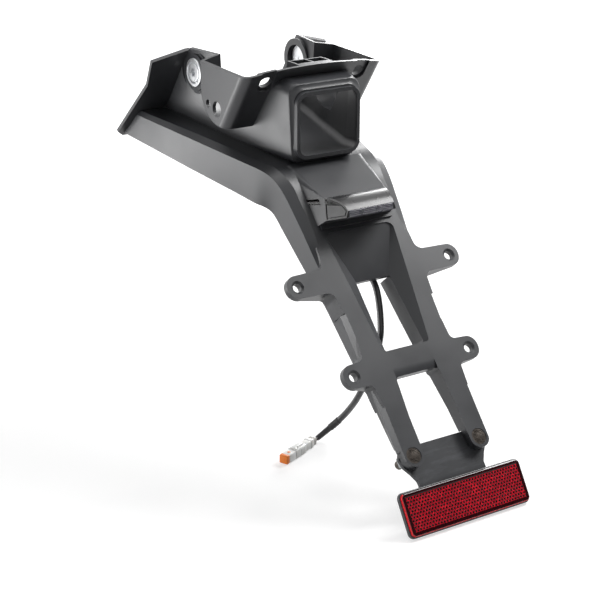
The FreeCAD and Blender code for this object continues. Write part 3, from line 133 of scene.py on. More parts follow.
def surface(name, code, light_code, roughness, cloud_mm, grain_mm, depth_mm, sockets=None):
    """A finish with a cloudy tint and roughness and a fine grain, on Object coordinates.

    A grain that is finer than the render can show is drawn as coarse as it needs to be.
    """
    material = bpy.data.materials.new(name)
    material.use_nodes = True
    tree = material.node_tree
    tree.nodes.clear()
    place = add_node(tree, "ShaderNodeTexCoord").outputs["Object"]
    clouds = add_node(tree, "ShaderNodeTexNoise",
                      {"Scale": 1 / (cloud_mm * MM), "Detail": 3.0, "Roughness": 0.55},
                      Vector=place).outputs["Fac"]
    tint = add_node(tree, "ShaderNodeMix",
                    {"data_type": "RGBA", 6: linear(code), 7: linear(light_code)}, Factor=clouds)
    rough = add_node(tree, "ShaderNodeMapRange",
                     {"From Min": 0.3, "From Max": 0.7,
                      "To Min": roughness * 0.88, "To Max": roughness * 1.12}, Value=clouds)
    grain = add_node(tree, "ShaderNodeTexNoise", {"Scale": 1 / (grain_mm * MM), "Detail": 2.0},
                     Vector=place)
    bump = add_node(tree, "ShaderNodeBump", {"Strength": 0.5, "Distance": depth_mm * MM},
                    Height=grain.outputs["Fac"])
    shader = add_node(tree, "ShaderNodeBsdfPrincipled", sockets, Base_Color=tint.outputs[2],
                      Roughness=rough.outputs[0], Normal=bump.outputs[0])
    add_node(tree, "ShaderNodeOutputMaterial", None, Surface=shader.outputs[0])
    return material, tree, place, shader


def add_relief(tree, shader, height, strength, depth_mm):
    """Adds a coarser relief under the grain of a finish."""
    bump = add_node(tree, "ShaderNodeBump", {"Strength": strength, "Distance": depth_mm * MM},
                    Height=height, Normal=shader.inputs["Normal"].links[0].from_socket)
    tree.links.new(bump.outputs[0], shader.inputs["Normal"])


def dress(node, material):
    """Gives a carried-over solid its material."""
    solid = nodes[node]
    solid.data.materials.clear()
    solid.data.materials.append(material)
    return solid


def merged(node):
    """A bmesh copy of a solid, with its loose triangles merged into whole faces."""
    shape = bmesh.new()
    shape.from_mesh(nodes[node].data)
    bmesh.ops.remove_doubles(shape, verts=shape.verts, dist=0.01 * MM)
    bmesh.ops.dissolve_limit(shape, angle_limit=math.radians(0.05), verts=shape.verts,
                             edges=shape.edges)
    return shape


def finish_piece(shape, name, node, materials, sharp=28, round_mm=0.0, place=None):
    """Turns a bmesh into a piece that stands for a node, with crisp or softened edges."""
    if place:
        bmesh.ops.transform(shape, matrix=place, verts=shape.verts)
        bmesh.ops.recalc_face_normals(shape, faces=shape.faces)
    for edge in shape.edges:
        edge.smooth = not (edge.is_manifold and edge.calc_face_angle() > math.radians(sharp))
    for face in shape.faces:
        face.smooth = True
    piece = mesh_object(name, shape, materials)
    if round_mm:
        bevel = piece.modifiers.new("Edges", "BEVEL")
        bevel.limit_method = "ANGLE"
        bevel.angle_limit = math.radians(sharp)
        bevel.width = round_mm * MM
        bevel.segments = 2
        bevel.use_clamp_overlap = True
        weighted = piece.modifiers.new("Shading", "WEIGHTED_NORMAL")
        weighted.mode = "FACE_AREA_WITH_ANGLE"
        weighted.keep_sharp = True
    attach(piece, "root")
    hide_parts(node)
    return piece


def edges_of(verts):
    """The edges at some vertices, each once and in the same order on every run."""
    return list(dict.fromkeys(edge for vert in verts for edge in vert.link_edges))


def inset_steps(shape, face, steps):
    """Insets a face again and again, by rows of width and rise in millimetres."""
    for width, rise in steps:
        bmesh.ops.inset_region(shape, faces=[face], thickness=width * MM, depth=rise * MM,
                               use_even_offset=True)


def add_block(shape, low, high, edge_mm, material=0):
    """Adds a rectangular block between two corners in millimetres, with rounded edges."""
    size = Vector(high) - Vector(low)
    middle = (Vector(high) + Vector(low)) / 2
    place = Matrix.Translation(middle * MM) @ Matrix.Diagonal((*(size * MM), 1.0))
    made = bmesh.ops.create_cube(shape, size=1.0, matrix=place)
    for vert in made["verts"]:
        for face in vert.link_faces:
            face.material_index = material
    bmesh.ops.bevel(shape, geom=edges_of(made["verts"]), offset=edge_mm * MM, offset_type="OFFSET",
                    segments=3, profile=0.5, affect="EDGES", material=-1)


class TailTidySettings(bpy.types.PropertyGroup):
    """Sizes and a colour that the steps use"""
    edge_round: FloatProperty(name="Edge Round", description="Softening of the moulded edges",
                              default=0.6 * MM, unit="LENGTH")
    metal_round: FloatProperty(name="Metal Edge Round",
                               description="Softening of the edges of turned and pressed metal",
                               default=0.15 * MM, unit="LENGTH")
    rib_pitch: FloatProperty(name="Lens Rib Pitch",
                             description="Spacing of the ribs on the plate light's lens",
                             default=1.1 * MM, unit="LENGTH")
    prism_pitch: FloatProperty(name="Prism Pitch", description="Spacing of the reflector's prisms",
                               default=2.3 * MM, unit="LENGTH")
    floor_colour: FloatVectorProperty(name="Floor Colour", description="Colour of the studio floor",
                                      default=(0.52, 0.52, 0.52), subtype="COLOR")


class TAILTIDY_OT_stage(bpy.types.Operator):
    """Adds the pale floor, the soft studio lights and the camera"""
    bl_idname = "tailtidy.stage"
    bl_label = "Studio Stage"

    def execute(self, context):
        scene = context.scene
        scene.view_settings.view_transform = "Standard"
        self.lay_floor(scene.tail_tidy.floor_colour)
        self.light_world(scene)
        self.hang_lamps()
        self.stand_flags()
        self.place_camera(scene)
        return {"FINISHED"}

    def backdrop_rays(self, tree):
        """1 for rays that see the backdrop: from the camera, off a shine or through plastic."""
        rays = add_node(tree, "ShaderNodeLightPath").outputs
        seen = add_node(tree, "ShaderNodeMath", {"operation": "MAXIMUM"}, _0=rays["Is Camera Ray"],
                        _1=rays["Is Glossy Ray"])
        return add_node(tree, "ShaderNodeMath", {"operation": "MAXIMUM"}, _0=seen.outputs[0],
                        _1=rays["Is Transmission Ray"]).outputs[0]

    def lay_floor(self, colour):
        # Matt white paper, which keeps the soft shadow: one even colour, from the settings
        paper, tree, place, shader = surface(
            "matt white paper", "bfbfbf", "bfbfbf", 0.9, 400, 1.5, 0.01,
            {"Specular IOR Level": 0.1, "Emission Color": (1, 1, 1, 1)})
        tint = shader.inputs["Base Color"].links[0].from_node
        for socket in (6, 7):
            tint.inputs[socket].default_value = (*colour, 1.0)
        # Full white a metre away, and less beside the object, so that its shadow stays
        away = add_node(tree, "ShaderNodeVectorMath", {"operation": "LENGTH"}, _0=place)
        level = add_node(tree, "ShaderNodeMapRange",
                         {"From Min": 0.40, "From Max": 1.0, "To Min": 0.60},
                         Value=away.outputs["Value"])
        lift = add_node(tree, "ShaderNodeMath", {"operation": "MULTIPLY"},
                        _0=self.backdrop_rays(tree), _1=level.outputs[0])
        tree.links.new(lift.outputs[0], shader.inputs["Emission Strength"])
        shape = bmesh.new()
        bmesh.ops.create_grid(shape, x_segments=1, y_segments=1, size=6.0)
        bmesh.ops.translate(shape, verts=shape.verts, vec=(0, 0, FLOOR_LEVEL))
        mesh_object("studio_floor", shape, [paper])

    def light_world(self, scene):
        """White for the rays that see the backdrop, and a dim fill for all others."""
        world = bpy.data.worlds.new("studio_world")
        scene.world = world
        world.use_nodes = True
        tree = world.node_tree
        tree.nodes.clear()
        level = add_node(tree, "ShaderNodeMapRange", {"To Min": 0.12, "To Max": 1.0},
                         Value=self.backdrop_rays(tree))
        sky = add_node(tree, "ShaderNodeBackground", {"Color": (1, 1, 1, 1)},
                       Strength=level.outputs[0])
        add_node(tree, "ShaderNodeOutputWorld", None, Surface=sky.outputs[0])

    def hang_lamps(self):
        """Soft lamps that face the object's middle, and one on the floor that shines up."""
        middle = Vector((0, -0.1, -0.1))
        for name, spot, power, size, aim in (
            ("softbox_key", (0.95, -0.25, 0.85), 19.0, 0.6, middle),
            ("softbox_top", (0.1, 0.1, 1.3), 5.0, 0.8, middle),
            ("bounce_left", (-0.50, 0.16, FLOOR_LEVEL + 0.01), 5.0, 0.5,
             Vector((-0.04, -0.08, 0.10))),
            ("strip_left", (-1.30, 0.13, 0.13), 2.2, 0.35, middle),
            ("softbox_rear", (1.1, 0.9, 0.30), 13.0, 0.6, middle),
        ):
            lamp = bpy.data.lights.new(name, "AREA")
            lamp.energy = power
            lamp.size = size
            rig = link_object(name, lamp)
            rig.visible_camera = False
            rig.location = spot
            rig.rotation_euler = (aim - Vector(spot)).to_track_quat("-Z", "Y").to_euler()

    def stand_flags(self):
        """Black felt that glossy faces mirror, so that the sides towards the camera stay dark."""
        felt = surface("black felt", "060606", "080808", 0.95, 60, 1.0, 0.1)[0]
        for name, middle, across, up in (
            ("flag_left", (-0.95, -0.55, 0.62), Vector((0.17, 0.55, 0)), Vector((0, 0, 0.40))),
            ("flag_right", (0.75, -1.20, 0.52), Vector((0.47, 0.37, 0)), Vector((0, 0, 0.36))),
            ("felt_front", (0.45, -0.95, FLOOR_LEVEL + 0.001),
             Vector((0.8, 0, 0)), Vector((0, 0.48, 0))),
        ):
            shape = bmesh.new()
            bmesh.ops.create_grid(shape, x_segments=1, y_segments=1, size=1.0)
            turn = Matrix((across, up, across.cross(up).normalized())).transposed().to_4x4()
            bmesh.ops.transform(shape, matrix=Matrix.Translation(middle) @ turn, verts=shape.verts)
            flag = mesh_object(name, shape, [felt])
            flag.visible_camera = False
            flag.visible_shadow = False

    def place_camera(self, scene):
        """The camera stands where the photograph was taken from."""
        camera = bpy.data.cameras.new("camera")
        camera.lens = 96.0
        camera.sensor_width = 36.0
        camera.clip_start = 0.05
        rig = link_object("camera", camera)
        rig.location = (-0.58748, -0.95301, 0.22504)
        rig.rotation_euler = Vector((0.5188, 0.7854, -0.3374)).to_track_quat("-Z", "Y").to_euler()
        scene.camera = rig


class TAILTIDY_OT_cable(bpy.types.Operator):
    """Lays the light's cable along its route, with its wires and plug"""
    bl_idname = "tailtidy.cable"
    bl_label = "Cable and Plug"

    def execute(self, context):
        curve = bpy.data.curves.new("cable_sleeve", "CURVE")
        curve.dimensions = "3D"
        curve.resolution_u = 16
        spline = curve.splines.new("NURBS")
        spline.points.add(len(CABLE_ROUTE) - 1)
        for point, place in zip(spline.points, CABLE_ROUTE):
            point.co = (*place, 1.0)
        spline.order_u = 3
        spline.use_endpoint_u = True
        piece = link_object("cable_sleeve", curve)
        # The bare line, before the curve has a thickness, is the path that the tape follows
        line = bpy.data.meshes.new_from_object(piece)
        path = [vert.co.copy() for vert in line.vertices]
        bpy.data.meshes.remove(line)
        spline.points[-1].radius = 0.86
        curve.bevel_depth = 2.2 * MM
        curve.bevel_resolution = 5
        curve.use_fill_caps = True
        # Woven polyester over the wires: dark grey with a long satin highlight and a lumpy run
        sleeve, tree, place, shader = surface("woven polyester sleeve", "1e1e20", "2a2a2c", 0.36,
                                              5.0, 0.7, 0.03)
        lumps = add_node(tree, "ShaderNodeTexNoise", {"Scale": 1 / (4.5 * MM), "Detail": 1.0},
                         Vector=place)
        add_relief(tree, shader, lumps.outputs["Fac"], 0.7, 0.35)
        curve.materials.append(sleeve)
        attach(piece, "root")
        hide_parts("cable")
        pieces = [self.tape(path)] + self.wires() + self.plug()
        return {"FINISHED"}

    def tape(self, path):
        """Turns of tape that hold the sleeve near its end."""
        # Cloth tape with a rubber face: duller than the sleeve
        cloth = surface("cloth tape", "1a1a1b", "232324", 0.6, 3.0, 0.5, 0.05)[0]
        # Distances from the plug's end of the sleeve, between which the tape lies
        tape_start, tape_end = 11.0 * MM, 21.5 * MM
        shape = bmesh.new()
        walked = 0.0
        rings = []
        for here, back in zip(path[::-1][1:], path[::-1]):
            walked += (here - back).length
            if tape_start < walked < tape_end:
                turn = (here - back).to_track_quat("Z", "Y").to_matrix().to_4x4()
                rings.append(Matrix.Translation(here) @ turn)
        last = len(rings) - 1
        loops = []
        for index, ring in enumerate(rings):
            # The turns swell a little, and both ends dip under the sleeve's surface
            radius = 2.15 if index in (0, last) else 2.5 + 0.12 * math.sin(index * 2.4)
            made = bmesh.ops.create_circle(shape, segments=20, radius=radius * MM, matrix=ring,
                                           cap_ends=index in (0, last))
            loops.append(edges_of(made["verts"]))
        for first, second in zip(loops, loops[1:]):
            bmesh.ops.bridge_loops(shape, edges=first + second)
        bmesh.ops.recalc_face_normals(shape, faces=shape.faces)
        for face in shape.faces:
            face.smooth = True
        piece = mesh_object("cable_tape", shape, [cloth])
        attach(piece, "root")
        return piece

    def wires(self):
        """The two wires that show between the sleeve and the plug."""
        # Thin-wall PVC insulation: plain colours with a waxy shine
        red = surface("red PVC insulation", "a81c1c", "c02a26", 0.35, 3.0, 0.5, 0.01)[0]
        dark = surface("dark PVC insulation", "35282a", "403032", 0.35, 3.0, 0.5, 0.01)[0]
        return [dress("wire_red", red), dress("wire_dark", dark)]

    def plug(self):
        """The plug's seal, housing and lock, from blocks in the plug's own frame."""
        # Nylon 66, moulded and uncoloured: milky white with a soft sheen
        white = surface("white nylon 66", "e9e9e6", "f2f2f0", 0.38, 12.0, 0.6, 0.008,
                        {"Subsurface Weight": 0.15, "Subsurface Radius": (1.0, 0.9, 0.8),
                         "Subsurface Scale": 0.8 * MM})[0]
        # The same nylon with a little black: a light grey band near the wires
        grey = surface("grey nylon 66", "c9c9c7", "d2d2d0", 0.42, 12.0, 0.6, 0.008)[0]
        # Orange nylon: the lock that shows the plug is shut
        orange = surface("orange nylon", "ee7a1c", "f5862a", 0.4, 8.0, 0.6, 0.008)[0]
        # Silicone rubber, moulded: a pale, soft-looking seal round the wires
        rubber = surface("silicone seal", "d8d6d2", "e0deda", 0.5, 6.0, 0.6, 0.01)[0]
        shape = bmesh.new()
        add_block(shape, (0.0, -2.5, -2.3), (4.4, 2.5, 2.3), 0.7)
        for rib in (0.9, 2.3):
            add_block(shape, (rib, -2.75, -2.55), (rib + 0.7, 2.75, 2.55), 0.25)
        seal = finish_piece(shape, "plug_wire_seal", "plug_seal", [rubber], sharp=40, place=PLUG)
        shape = bmesh.new()
        # Wire end with its grey band, neck, body, nose, latch and the latch's thumb pad
        for low, high, edge, material in (
            ((4.0, -3.0, -2.8), (13.6, 3.0, 2.8), 0.6, 0),
            ((6.3, -3.15, -2.95), (8.3, 3.15, 2.95), 0.25, 1),
            ((12.8, -2.6, -2.4), (14.8, 2.6, 2.4), 0.4, 0),
            ((14.2, -3.6, -3.3), (27.4, 3.6, 3.3), 0.7, 0),
            ((26.6, -3.35, -3.3), (35.2, 3.35, 2.85), 0.6, 0),
            ((15.0, -1.45, 2.8), (26.0, 1.45, 4.3), 0.4, 0),
            ((24.2, -2.3, 2.8), (26.6, 2.3, 4.1), 0.35, 0),
        ):
            add_block(shape, low, high, edge, material)
        for side in (-1, 1):
            for rib in (16.4, 18.4, 20.4):
                add_block(shape, (rib, side * 3.4 - 0.4, -2.2),
                          (rib + 0.9, side * 3.4 + 0.4, 2.2), 0.2)
        body = finish_piece(shape, "plug_housing", "plug_body", [white, grey], sharp=40, place=PLUG)
        shape = bmesh.new()
        add_block(shape, (34.9, -3.3, -3.25), (38.0, 3.3, 2.8), 0.45)
        add_block(shape, (30.2, -1.0, 2.0), (32.4, 1.0, 2.97), 0.12)
        lock = finish_piece(shape, "plug_lock_clip", "plug_lock", [orange], sharp=40, place=PLUG)
        return [seal, body, lock]


class TAILTIDY_OT_mouldings(bpy.types.Operator):
    """Dresses the ladder arm and the duct housing as moulded black nylon"""
    bl_idname = "tailtidy.mouldings"
    bl_label = "Mouldings"

    def execute(self, context):
        # Glass-filled nylon, injection moulded: charcoal, with a fine grain and faint flow marks
        nylon = surface("moulded black nylon", "303134", "38393c", 0.37, 28.0, 0.5, 0.02,
                        {"IOR": 1.53, "Specular IOR Level": 0.5})[0]
        edge = context.scene.tail_tidy.edge_round / MM
        finish_piece(merged("support_arm"), "ladder_arm", "support_arm", [nylon], sharp=14,
                     round_mm=edge)
        finish_piece(merged("housing"), "duct_housing", "housing", [nylon], sharp=28, round_mm=edge)
        return {"FINISHED"}


class TAILTIDY_OT_side_fastenings(bpy.types.Operator):
    """Dresses the washers, screws and nuts that hold the part to the subframe"""
    bl_idname = "tailtidy.side_fastenings"
    bl_label = "Side Fastenings"

    def execute(self, context):
        # Zinc plate over turned steel: bright, slightly blue, with the rings that the tool leaves,
        # drawn far coarser than they are so that they show
        zinc, tree, place, shader = surface("zinc plated turned steel", "d6d8da", "e2e3e5", 0.36,
                                            6.0, 0.4, 0.01, {"Metallic": 1.0})
        rings = add_node(tree, "ShaderNodeTexWave",
                         {"wave_type": "RINGS", "rings_direction": "X",
                          "Scale": 1 / (0.7 * MM) / 20, "Distortion": 0.4}, Vector=place)
        add_relief(tree, shader, rings.outputs["Fac"], 0.25, 0.03)
        edge = context.scene.tail_tidy.metal_round / MM
        for node in ("side_washers", "side_screws", "side_nuts"):
            finish_piece(merged(node), node + "_plated", node, [zinc], sharp=25, round_mm=edge)
        return {"FINISHED"}


class TAILTIDY_OT_ladder_screws(bpy.types.Operator):
    """Makes the countersunk screws of the bracket and dresses the screws under the arm"""
    bl_idname = "tailtidy.ladder_screws"
    bl_label = "Ladder Screws"

    def execute(self, context):
        # Black oxide on steel: a thin brownish black that still shines like metal
        oxide = surface("black oxide steel", "443e39", "544d46", 0.40, 2.5, 0.4, 0.01,
                        {"Metallic": 0.6})[0]
        # Zinc plate over cold-formed steel: a dull, even silver
        zinc = surface("zinc plated steel", "8f9295", "a2a4a6", 0.42, 4.0, 0.4, 0.01,
                       {"Metallic": 1.0})[0]
        shape = bmesh.new()
        for side in (-1, 1):
            self.countersunk(shape, side * 26.3)
        finish_piece(shape, "bracket_screws_ridged", "bracket_screws", [oxide], sharp=25,
                     place=LADDER)
        edge = context.scene.tail_tidy.metal_round / MM
        finish_piece(merged("joint_screws"), "joint_screws_oxide", "joint_screws", [oxide],
                     sharp=25, round_mm=edge)
        for node in ("bracket_nuts", "reflector_nuts", "light_screws"):
            finish_piece(merged(node), node + "_plated", node, [zinc], sharp=25, round_mm=edge)
        return {"FINISHED"}

    def countersunk(self, shape, across):
        """One countersunk screw with a hexagon socket and a ring of small ridges."""
        def ring(radius, depth, segments=48):
            place = Matrix.Translation((across * MM, 0, depth * MM))
            return bmesh.ops.create_circle(shape, segments=segments, radius=radius * MM,
                                           matrix=place)["verts"]

        def hexagon(depth):
            """The socket's outline, 4 mm across its flats, cut into as many edges as a ring has."""
            made = bmesh.ops.subdivide_edges(shape, edges=edges_of(ring(2.31, depth, 6)), cuts=7)
            return [item for item in made["geom"] if isinstance(item, bmesh.types.BMEdge)]

        socket = hexagon(-0.4)
        # Radius and depth of the rings round the ridges, the head's rim, its cone and the shank
        circles = [edges_of(ring(radius, depth)) for radius, depth in (
            (3.2, -0.4), (4.5, -0.4), (5.0, -0.4), (5.4, -0.65),
            (3.0, -2.95), (3.0, -20.4), (2.5, -20.9))]
        # Known fault: the bands between circles at one depth are bridged with a turn, so their
        # faces cross the socket, and the ridges that are made from them do too
        loops = [socket] + circles
        bands = [bmesh.ops.bridge_loops(shape, edges=first + second)["faces"]
                 for first, second in zip(loops, loops[1:])]
        floor = hexagon(-2.4)
        bmesh.ops.bridge_loops(shape, edges=floor + socket)
        for end in (floor, circles[-1]):
            bmesh.ops.edgeloop_fill(shape, edges=end)
        # Every other face of the band between the first two circles becomes a ridge
        middle = Vector((across * MM, 0, 0))
        ridges = sorted(bands[1], key=lambda face: math.atan2(
            *(face.calc_center_median() - middle).xy))[::2]
        raised = bmesh.ops.extrude_discrete_faces(shape, faces=ridges)["faces"]
        for face in raised:
            bmesh.ops.translate(shape, verts=face.verts, vec=(0, 0, 0.22 * MM))
            bmesh.ops.scale(shape, verts=face.verts, vec=(0.8, 0.8, 1.0),
                            space=Matrix.Translation(-face.calc_center_median()))


class TAILTIDY_OT_plate_light(bpy.types.Operator):
    """Dresses the number plate light: body, ribbed lens, board, seals and grommet"""
    bl_idname = "tailtidy.plate_light"
    bl_label = "Plate Light"

    def execute(self, context):
        # Polished black ABS: deep black with sharp reflections
        gloss = surface("polished black ABS", "161618", "1d1d1f", 0.29, 9.0, 1.5, 0.004,
                        {"IOR": 1.53})[0]
        # Clear polycarbonate over a dark body: a violet grey with bright ribs
        clear = surface("clear polycarbonate", "74737f", "807f8b", 0.30, 9.0, 1.5, 0.003,
                        {"IOR": 1.585, "Transmission Weight": 0.25})[0]
        # Glass-epoxy board under green solder mask
        board = surface("FR4 with solder mask", "0f4a26", "14552d", 0.3, 3.0, 0.4, 0.01)[0]
        # White LED chips: a yellow phosphor under clear resin
        phosphor = surface("LED phosphor", "dcb640", "e6c455", 0.25, 1.0, 0.3, 0.01)[0]
        # Closed-cell EPDM foam and moulded EPDM rubber: dull black
        foam = surface("EPDM foam", "232324", "2c2c2d", 0.85, 1.2, 0.4, 0.15)[0]
        rubber = surface("EPDM rubber", "1f1f20", "262627", 0.62, 4.0, 0.5, 0.02)[0]
        shape = merged("plate_light_body")
        # A seam and a raised panel on the two end caps, which face aside and a little outwards.
        # Known fault: the insets go in further than the caps' short edges allow. One corner of each
        # panel is thrown about 40 mm out, which makes a spike through the arm
        cap_lean, least_area = 0.541, 40 * MM * MM
        for side in (-1, 1):
            outward = (LADDER.to_3x3() @ Vector((side, 0, cap_lean))).normalized()
            ends = [face for face in shape.faces if face.normal.dot(outward) > 0.99
                    and face.calc_area() > least_area]
            face = max(ends, key=lambda item: item.calc_center_median().dot(outward))
            inset_steps(shape, face, ((0.7, 0.0), (0.2, -0.7), (0.5, 0.0), (0.3, 0.5)))
        finish_piece(shape, "plate_light_case", "plate_light_body", [gloss], sharp=20, round_mm=0.3)
        shape = merged("plate_light_lens")
        self.add_ribs(shape, context.scene.tail_tidy.rib_pitch)
        finish_piece(shape, "plate_light_window", "plate_light_lens", [clear], sharp=35)
        dress("light_board", board)
        dress("light_leds", phosphor)
        dress("light_gasket", foam)
        dress("cable_grommet", rubber)
        return {"FINISHED"}

    def add_ribs(self, shape, pitch):
        """Half-round ribs along the lens's front band and underside, in ladder millimetres."""
        front = Vector((0, 160.0, 22.5))
        nose = Vector((0, 156.3, 19.8))
        under = Vector((0, 161.6, 7.0))
        lie_across = Matrix.Rotation(math.pi / 2, 4, "Y")
        radius, length = 0.42 * MM, 34.2 * MM
        for start, end, reach in ((front, nose, 4.4), (nose, under, 7.2)):
            run = (end - start).normalized()
            step = 0.7
            while step < reach - 0.3:
                place = LADDER @ Matrix.Translation((start + run * step) * MM) @ lie_across
                bmesh.ops.create_cone(shape, cap_ends=True, segments=12, radius1=radius,
                                      radius2=radius, depth=length, matrix=place)
                step += pitch / MM


class TAILTIDY_OT_bracket(bpy.types.Operator):
    """Dresses the bent bracket between the ladder and the reflector"""
    bl_idname = "tailtidy.bracket"
    bl_label = "Bracket"

    def execute(self, context):
        # Powder coat on pressed steel: charcoal, faint orange peel, rubbed smudges across the sheet
        coat, tree, place, shader = surface("powder coated steel", "323336", "3b3c3f", 0.48,
                                            14.0, 0.9, 0.03, {"Specular IOR Level": 0.4})
        wide = add_node(tree, "ShaderNodeMapping", {"Scale": (0.25, 1.0, 1.0)}, Vector=place)
        smudge = add_node(tree, "ShaderNodeTexNoise",
                          {"Scale": 1 / (5.0 * MM), "Detail": 4.0, "Roughness": 0.6},
                          Vector=wide.outputs[0])
        faint = add_node(tree, "ShaderNodeMapRange",
                         {"From Min": 0.5, "From Max": 0.75, "To Min": 0.0, "To Max": 0.5},
                         Value=smudge.outputs["Fac"])
        rubbed = add_node(tree, "ShaderNodeMix", {"data_type": "RGBA", 7: linear("5a5c60")},
                          Factor=faint.outputs[0],
                          _6=shader.inputs["Base Color"].links[0].from_socket)
        tree.links.new(rubbed.outputs[2], shader.inputs["Base Color"])
        edge = context.scene.tail_tidy.metal_round / MM
        finish_piece(merged("reflector_bracket"), "bracket_sheet", "reflector_bracket", [coat],
                     sharp=30, round_mm=edge * 2)
        return {"FINISHED"}


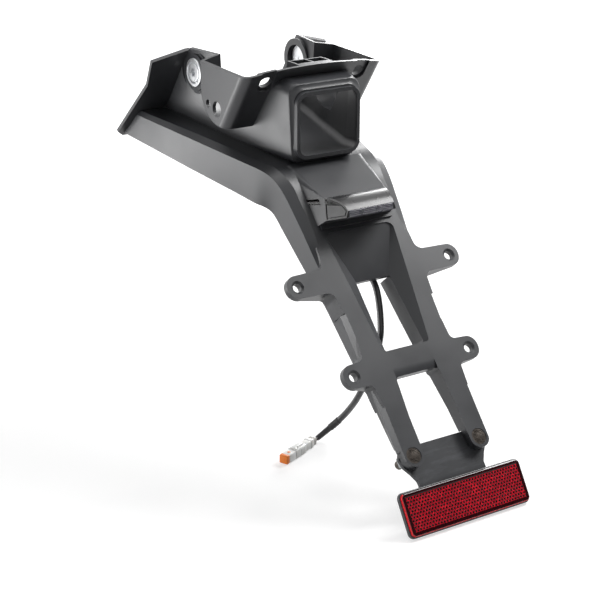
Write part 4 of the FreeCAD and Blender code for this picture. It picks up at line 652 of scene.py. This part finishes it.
class TAILTIDY_OT_reflector(bpy.types.Operator):
    """Makes the red reflector: black base, clear red lens and its field of prisms"""
    bl_idname = "tailtidy.reflector"
    bl_label = "Reflector"

    def execute(self, context):
        # Black ABS base, moulded: charcoal with a satin rim. Known fault: the rounding uses up the
        # rim's width, and the sliver that is left of its face is filled across half the mouth,
        # where the lens hides it
        base = surface("black ABS", "2c2e30", "333537", 0.42, 10.0, 0.6, 0.015)[0]
        finish_piece(merged("reflector_base"), "reflector_tray", "reflector_base", [base], sharp=28,
                     round_mm=0.35)
        # Acrylic, clear red: the edges that face left and down get a painted glow of bright red,
        # and the margin over the black base looks almost black
        glow = {"Coat Weight": 1.0, "Coat Roughness": 0.03, "Coat IOR": 1.49,
                "Specular IOR Level": 0.3}
        edge = surface("clear red acrylic painted lit edge", "f0081a", "ff1024", 0.16, 9.0, 1.0, 0.003,
                       dict(glow, **{"Coat Weight": 0.35}))[0]
        margin = surface("clear red acrylic over black and painted shaded sides", "2a070c", "360a10", 0.16, 9.0, 1.0, 0.003,
                         dict(glow, **{"Coat Weight": 0.45}))[0]
        prisms = self.prisms(context.scene.tail_tidy.prism_pitch, glow)
        shape = merged("reflector_lens")
        outward = (REFLECTOR.to_3x3() @ Vector((0, 0, 1))).normalized()
        face = max((item for item in shape.faces if item.normal.dot(outward) > 0.99),
                   key=lambda item: item.calc_area())
        inward = REFLECTOR.to_3x3().inverted()
        # Painted light and shade: the faces of the left and lower edge are painted bright red as
        # lit, the others are painted dark as shaded, and the margin is dark over the black base
        for item in shape.faces:
            across, up, _ = inward @ item.normal
            item.material_index = 0 if min(across, up) < -0.3 else 1
        face.material_index = 1
        inset_steps(shape, face, ((1.5, 0.0), (0.3, -0.1), (0.5, 0.0)))
        face.material_index = 2
        finish_piece(shape, "reflector_lens_prisms", "reflector_lens", [edge, margin, prisms],
                     sharp=28, round_mm=0.25)
        return {"FINISHED"}

    def prisms(self, pitch, glow):
        """Rows of cube-corner prisms behind clear red acrylic: painted shade in the hollows of a
        bright red net, with painted glints.
        """
        material, tree, place, shader = surface("clear red acrylic over prisms with painted glints and shade", "b20e26", "c8142c",
                                                0.2, 4.0, 1.0, 0.002, glow)
        flat = add_node(tree, "ShaderNodeMapping",
                        {"vector_type": "TEXTURE", "Location": REFLECTOR.to_translation(),
                         "Rotation": REFLECTOR.to_euler()}, Vector=place).outputs[0]
        # Distance to the nearest prism, from two grids of which one lies half a cell aside
        cell = Vector((pitch, pitch * math.sqrt(3), 1.0))
        nearest = []
        for shift in (Vector((0, 0, 0)), cell / 2):
            moved = add_node(tree, "ShaderNodeVectorMath",
                             {"operation": "ADD", 1: (shift.x, shift.y, 0)}, _0=flat)
            wrapped = add_node(tree, "ShaderNodeVectorMath",
                               {"operation": "WRAP", 1: (cell.x / 2, cell.y / 2, 1.0),
                                2: (-cell.x / 2, -cell.y / 2, -1.0)}, _0=moved.outputs[0])
            level = add_node(tree, "ShaderNodeVectorMath", {"operation": "MULTIPLY", 1: (1, 1, 0)},
                             _0=wrapped.outputs[0])
            nearest.append(add_node(tree, "ShaderNodeVectorMath", {"operation": "LENGTH"},
                                    _0=level.outputs[0]).outputs["Value"])
        away = add_node(tree, "ShaderNodeMath", {"operation": "MINIMUM"}, _0=nearest[0],
                        _1=nearest[1])
        # Painted glints: here and there a prism is painted a brighter red, as if it threw the light
        # back
        painted_glint_cells = add_node(tree, "ShaderNodeTexVoronoi",
                         {"Scale": 1 / (1.6 * MM), "feature": "F1"}, Vector=flat)
        shine = add_node(tree, "ShaderNodeMapRange",
                         {"From Min": 0.5, "From Max": 0.85, "To Min": 0.0, "To Max": 1.0},
                         Value=painted_glint_cells.outputs["Color"])
        net_with_painted_glints = add_node(tree, "ShaderNodeMix", {"data_type": "RGBA", 7: linear("ff1a34")},
                       Factor=shine.outputs[0],
                       _6=shader.inputs["Base Color"].links[0].from_socket)
        # Painted shade: the hollows between the prisms are painted almost black, and the same mask
        # dents the surface
        hollow_depth_and_painted_shade = add_node(tree, "ShaderNodeMapRange",
                          {"From Min": pitch * 0.27, "From Max": pitch * 0.40,
                           "To Min": 0.0, "To Max": 1.0}, Value=away.outputs[0])
        both = add_node(tree, "ShaderNodeMix", {"data_type": "RGBA", 6: linear("1e0c0a")},
                        Factor=hollow_depth_and_painted_shade.outputs[0], _7=net_with_painted_glints.outputs[2])
        tree.links.new(both.outputs[2], shader.inputs["Base Color"])
        bump = add_node(tree, "ShaderNodeBump", {"Strength": 0.5, "Distance": 0.15 * MM},
                        Height=hollow_depth_and_painted_shade.outputs[0])
        tree.links.new(bump.outputs[0], shader.inputs["Normal"])
        return material


class TAILTIDY_PT_sidebar(bpy.types.Panel):
    """Lists the steps that dress the tail tidy"""
    bl_label = "Tail Tidy"
    bl_idname = "TAILTIDY_PT_sidebar"
    bl_space_type = "VIEW_3D"
    bl_region_type = "UI"
    bl_category = "Tail Tidy"

    def draw(self, context):
        settings = context.scene.tail_tidy
        for name in ("edge_round", "metal_round", "rib_pitch", "prism_pitch", "floor_colour"):
            self.layout.prop(settings, name)
        for step in STEPS:
            self.layout.operator(step.bl_idname)


STEPS = (TAILTIDY_OT_stage, TAILTIDY_OT_cable, TAILTIDY_OT_mouldings,
         TAILTIDY_OT_side_fastenings, TAILTIDY_OT_ladder_screws, TAILTIDY_OT_plate_light,
         TAILTIDY_OT_bracket, TAILTIDY_OT_reflector)
CLASSES = (TailTidySettings,) + STEPS + (TAILTIDY_PT_sidebar,)


def register():
    for item in CLASSES:
        bpy.utils.register_class(item)
    bpy.types.Scene.tail_tidy = PointerProperty(type=TailTidySettings)


def unregister():
    del bpy.types.Scene.tail_tidy
    for item in reversed(CLASSES):
        bpy.utils.unregister_class(item)


def main():
    register()
    bpy.ops.tailtidy.stage()
    bpy.ops.tailtidy.cable()
    bpy.ops.tailtidy.mouldings()
    bpy.ops.tailtidy.side_fastenings()
    bpy.ops.tailtidy.ladder_screws()
    bpy.ops.tailtidy.plate_light()
    bpy.ops.tailtidy.bracket()
    bpy.ops.tailtidy.reflector()


if __name__ == "__main__":
    main()
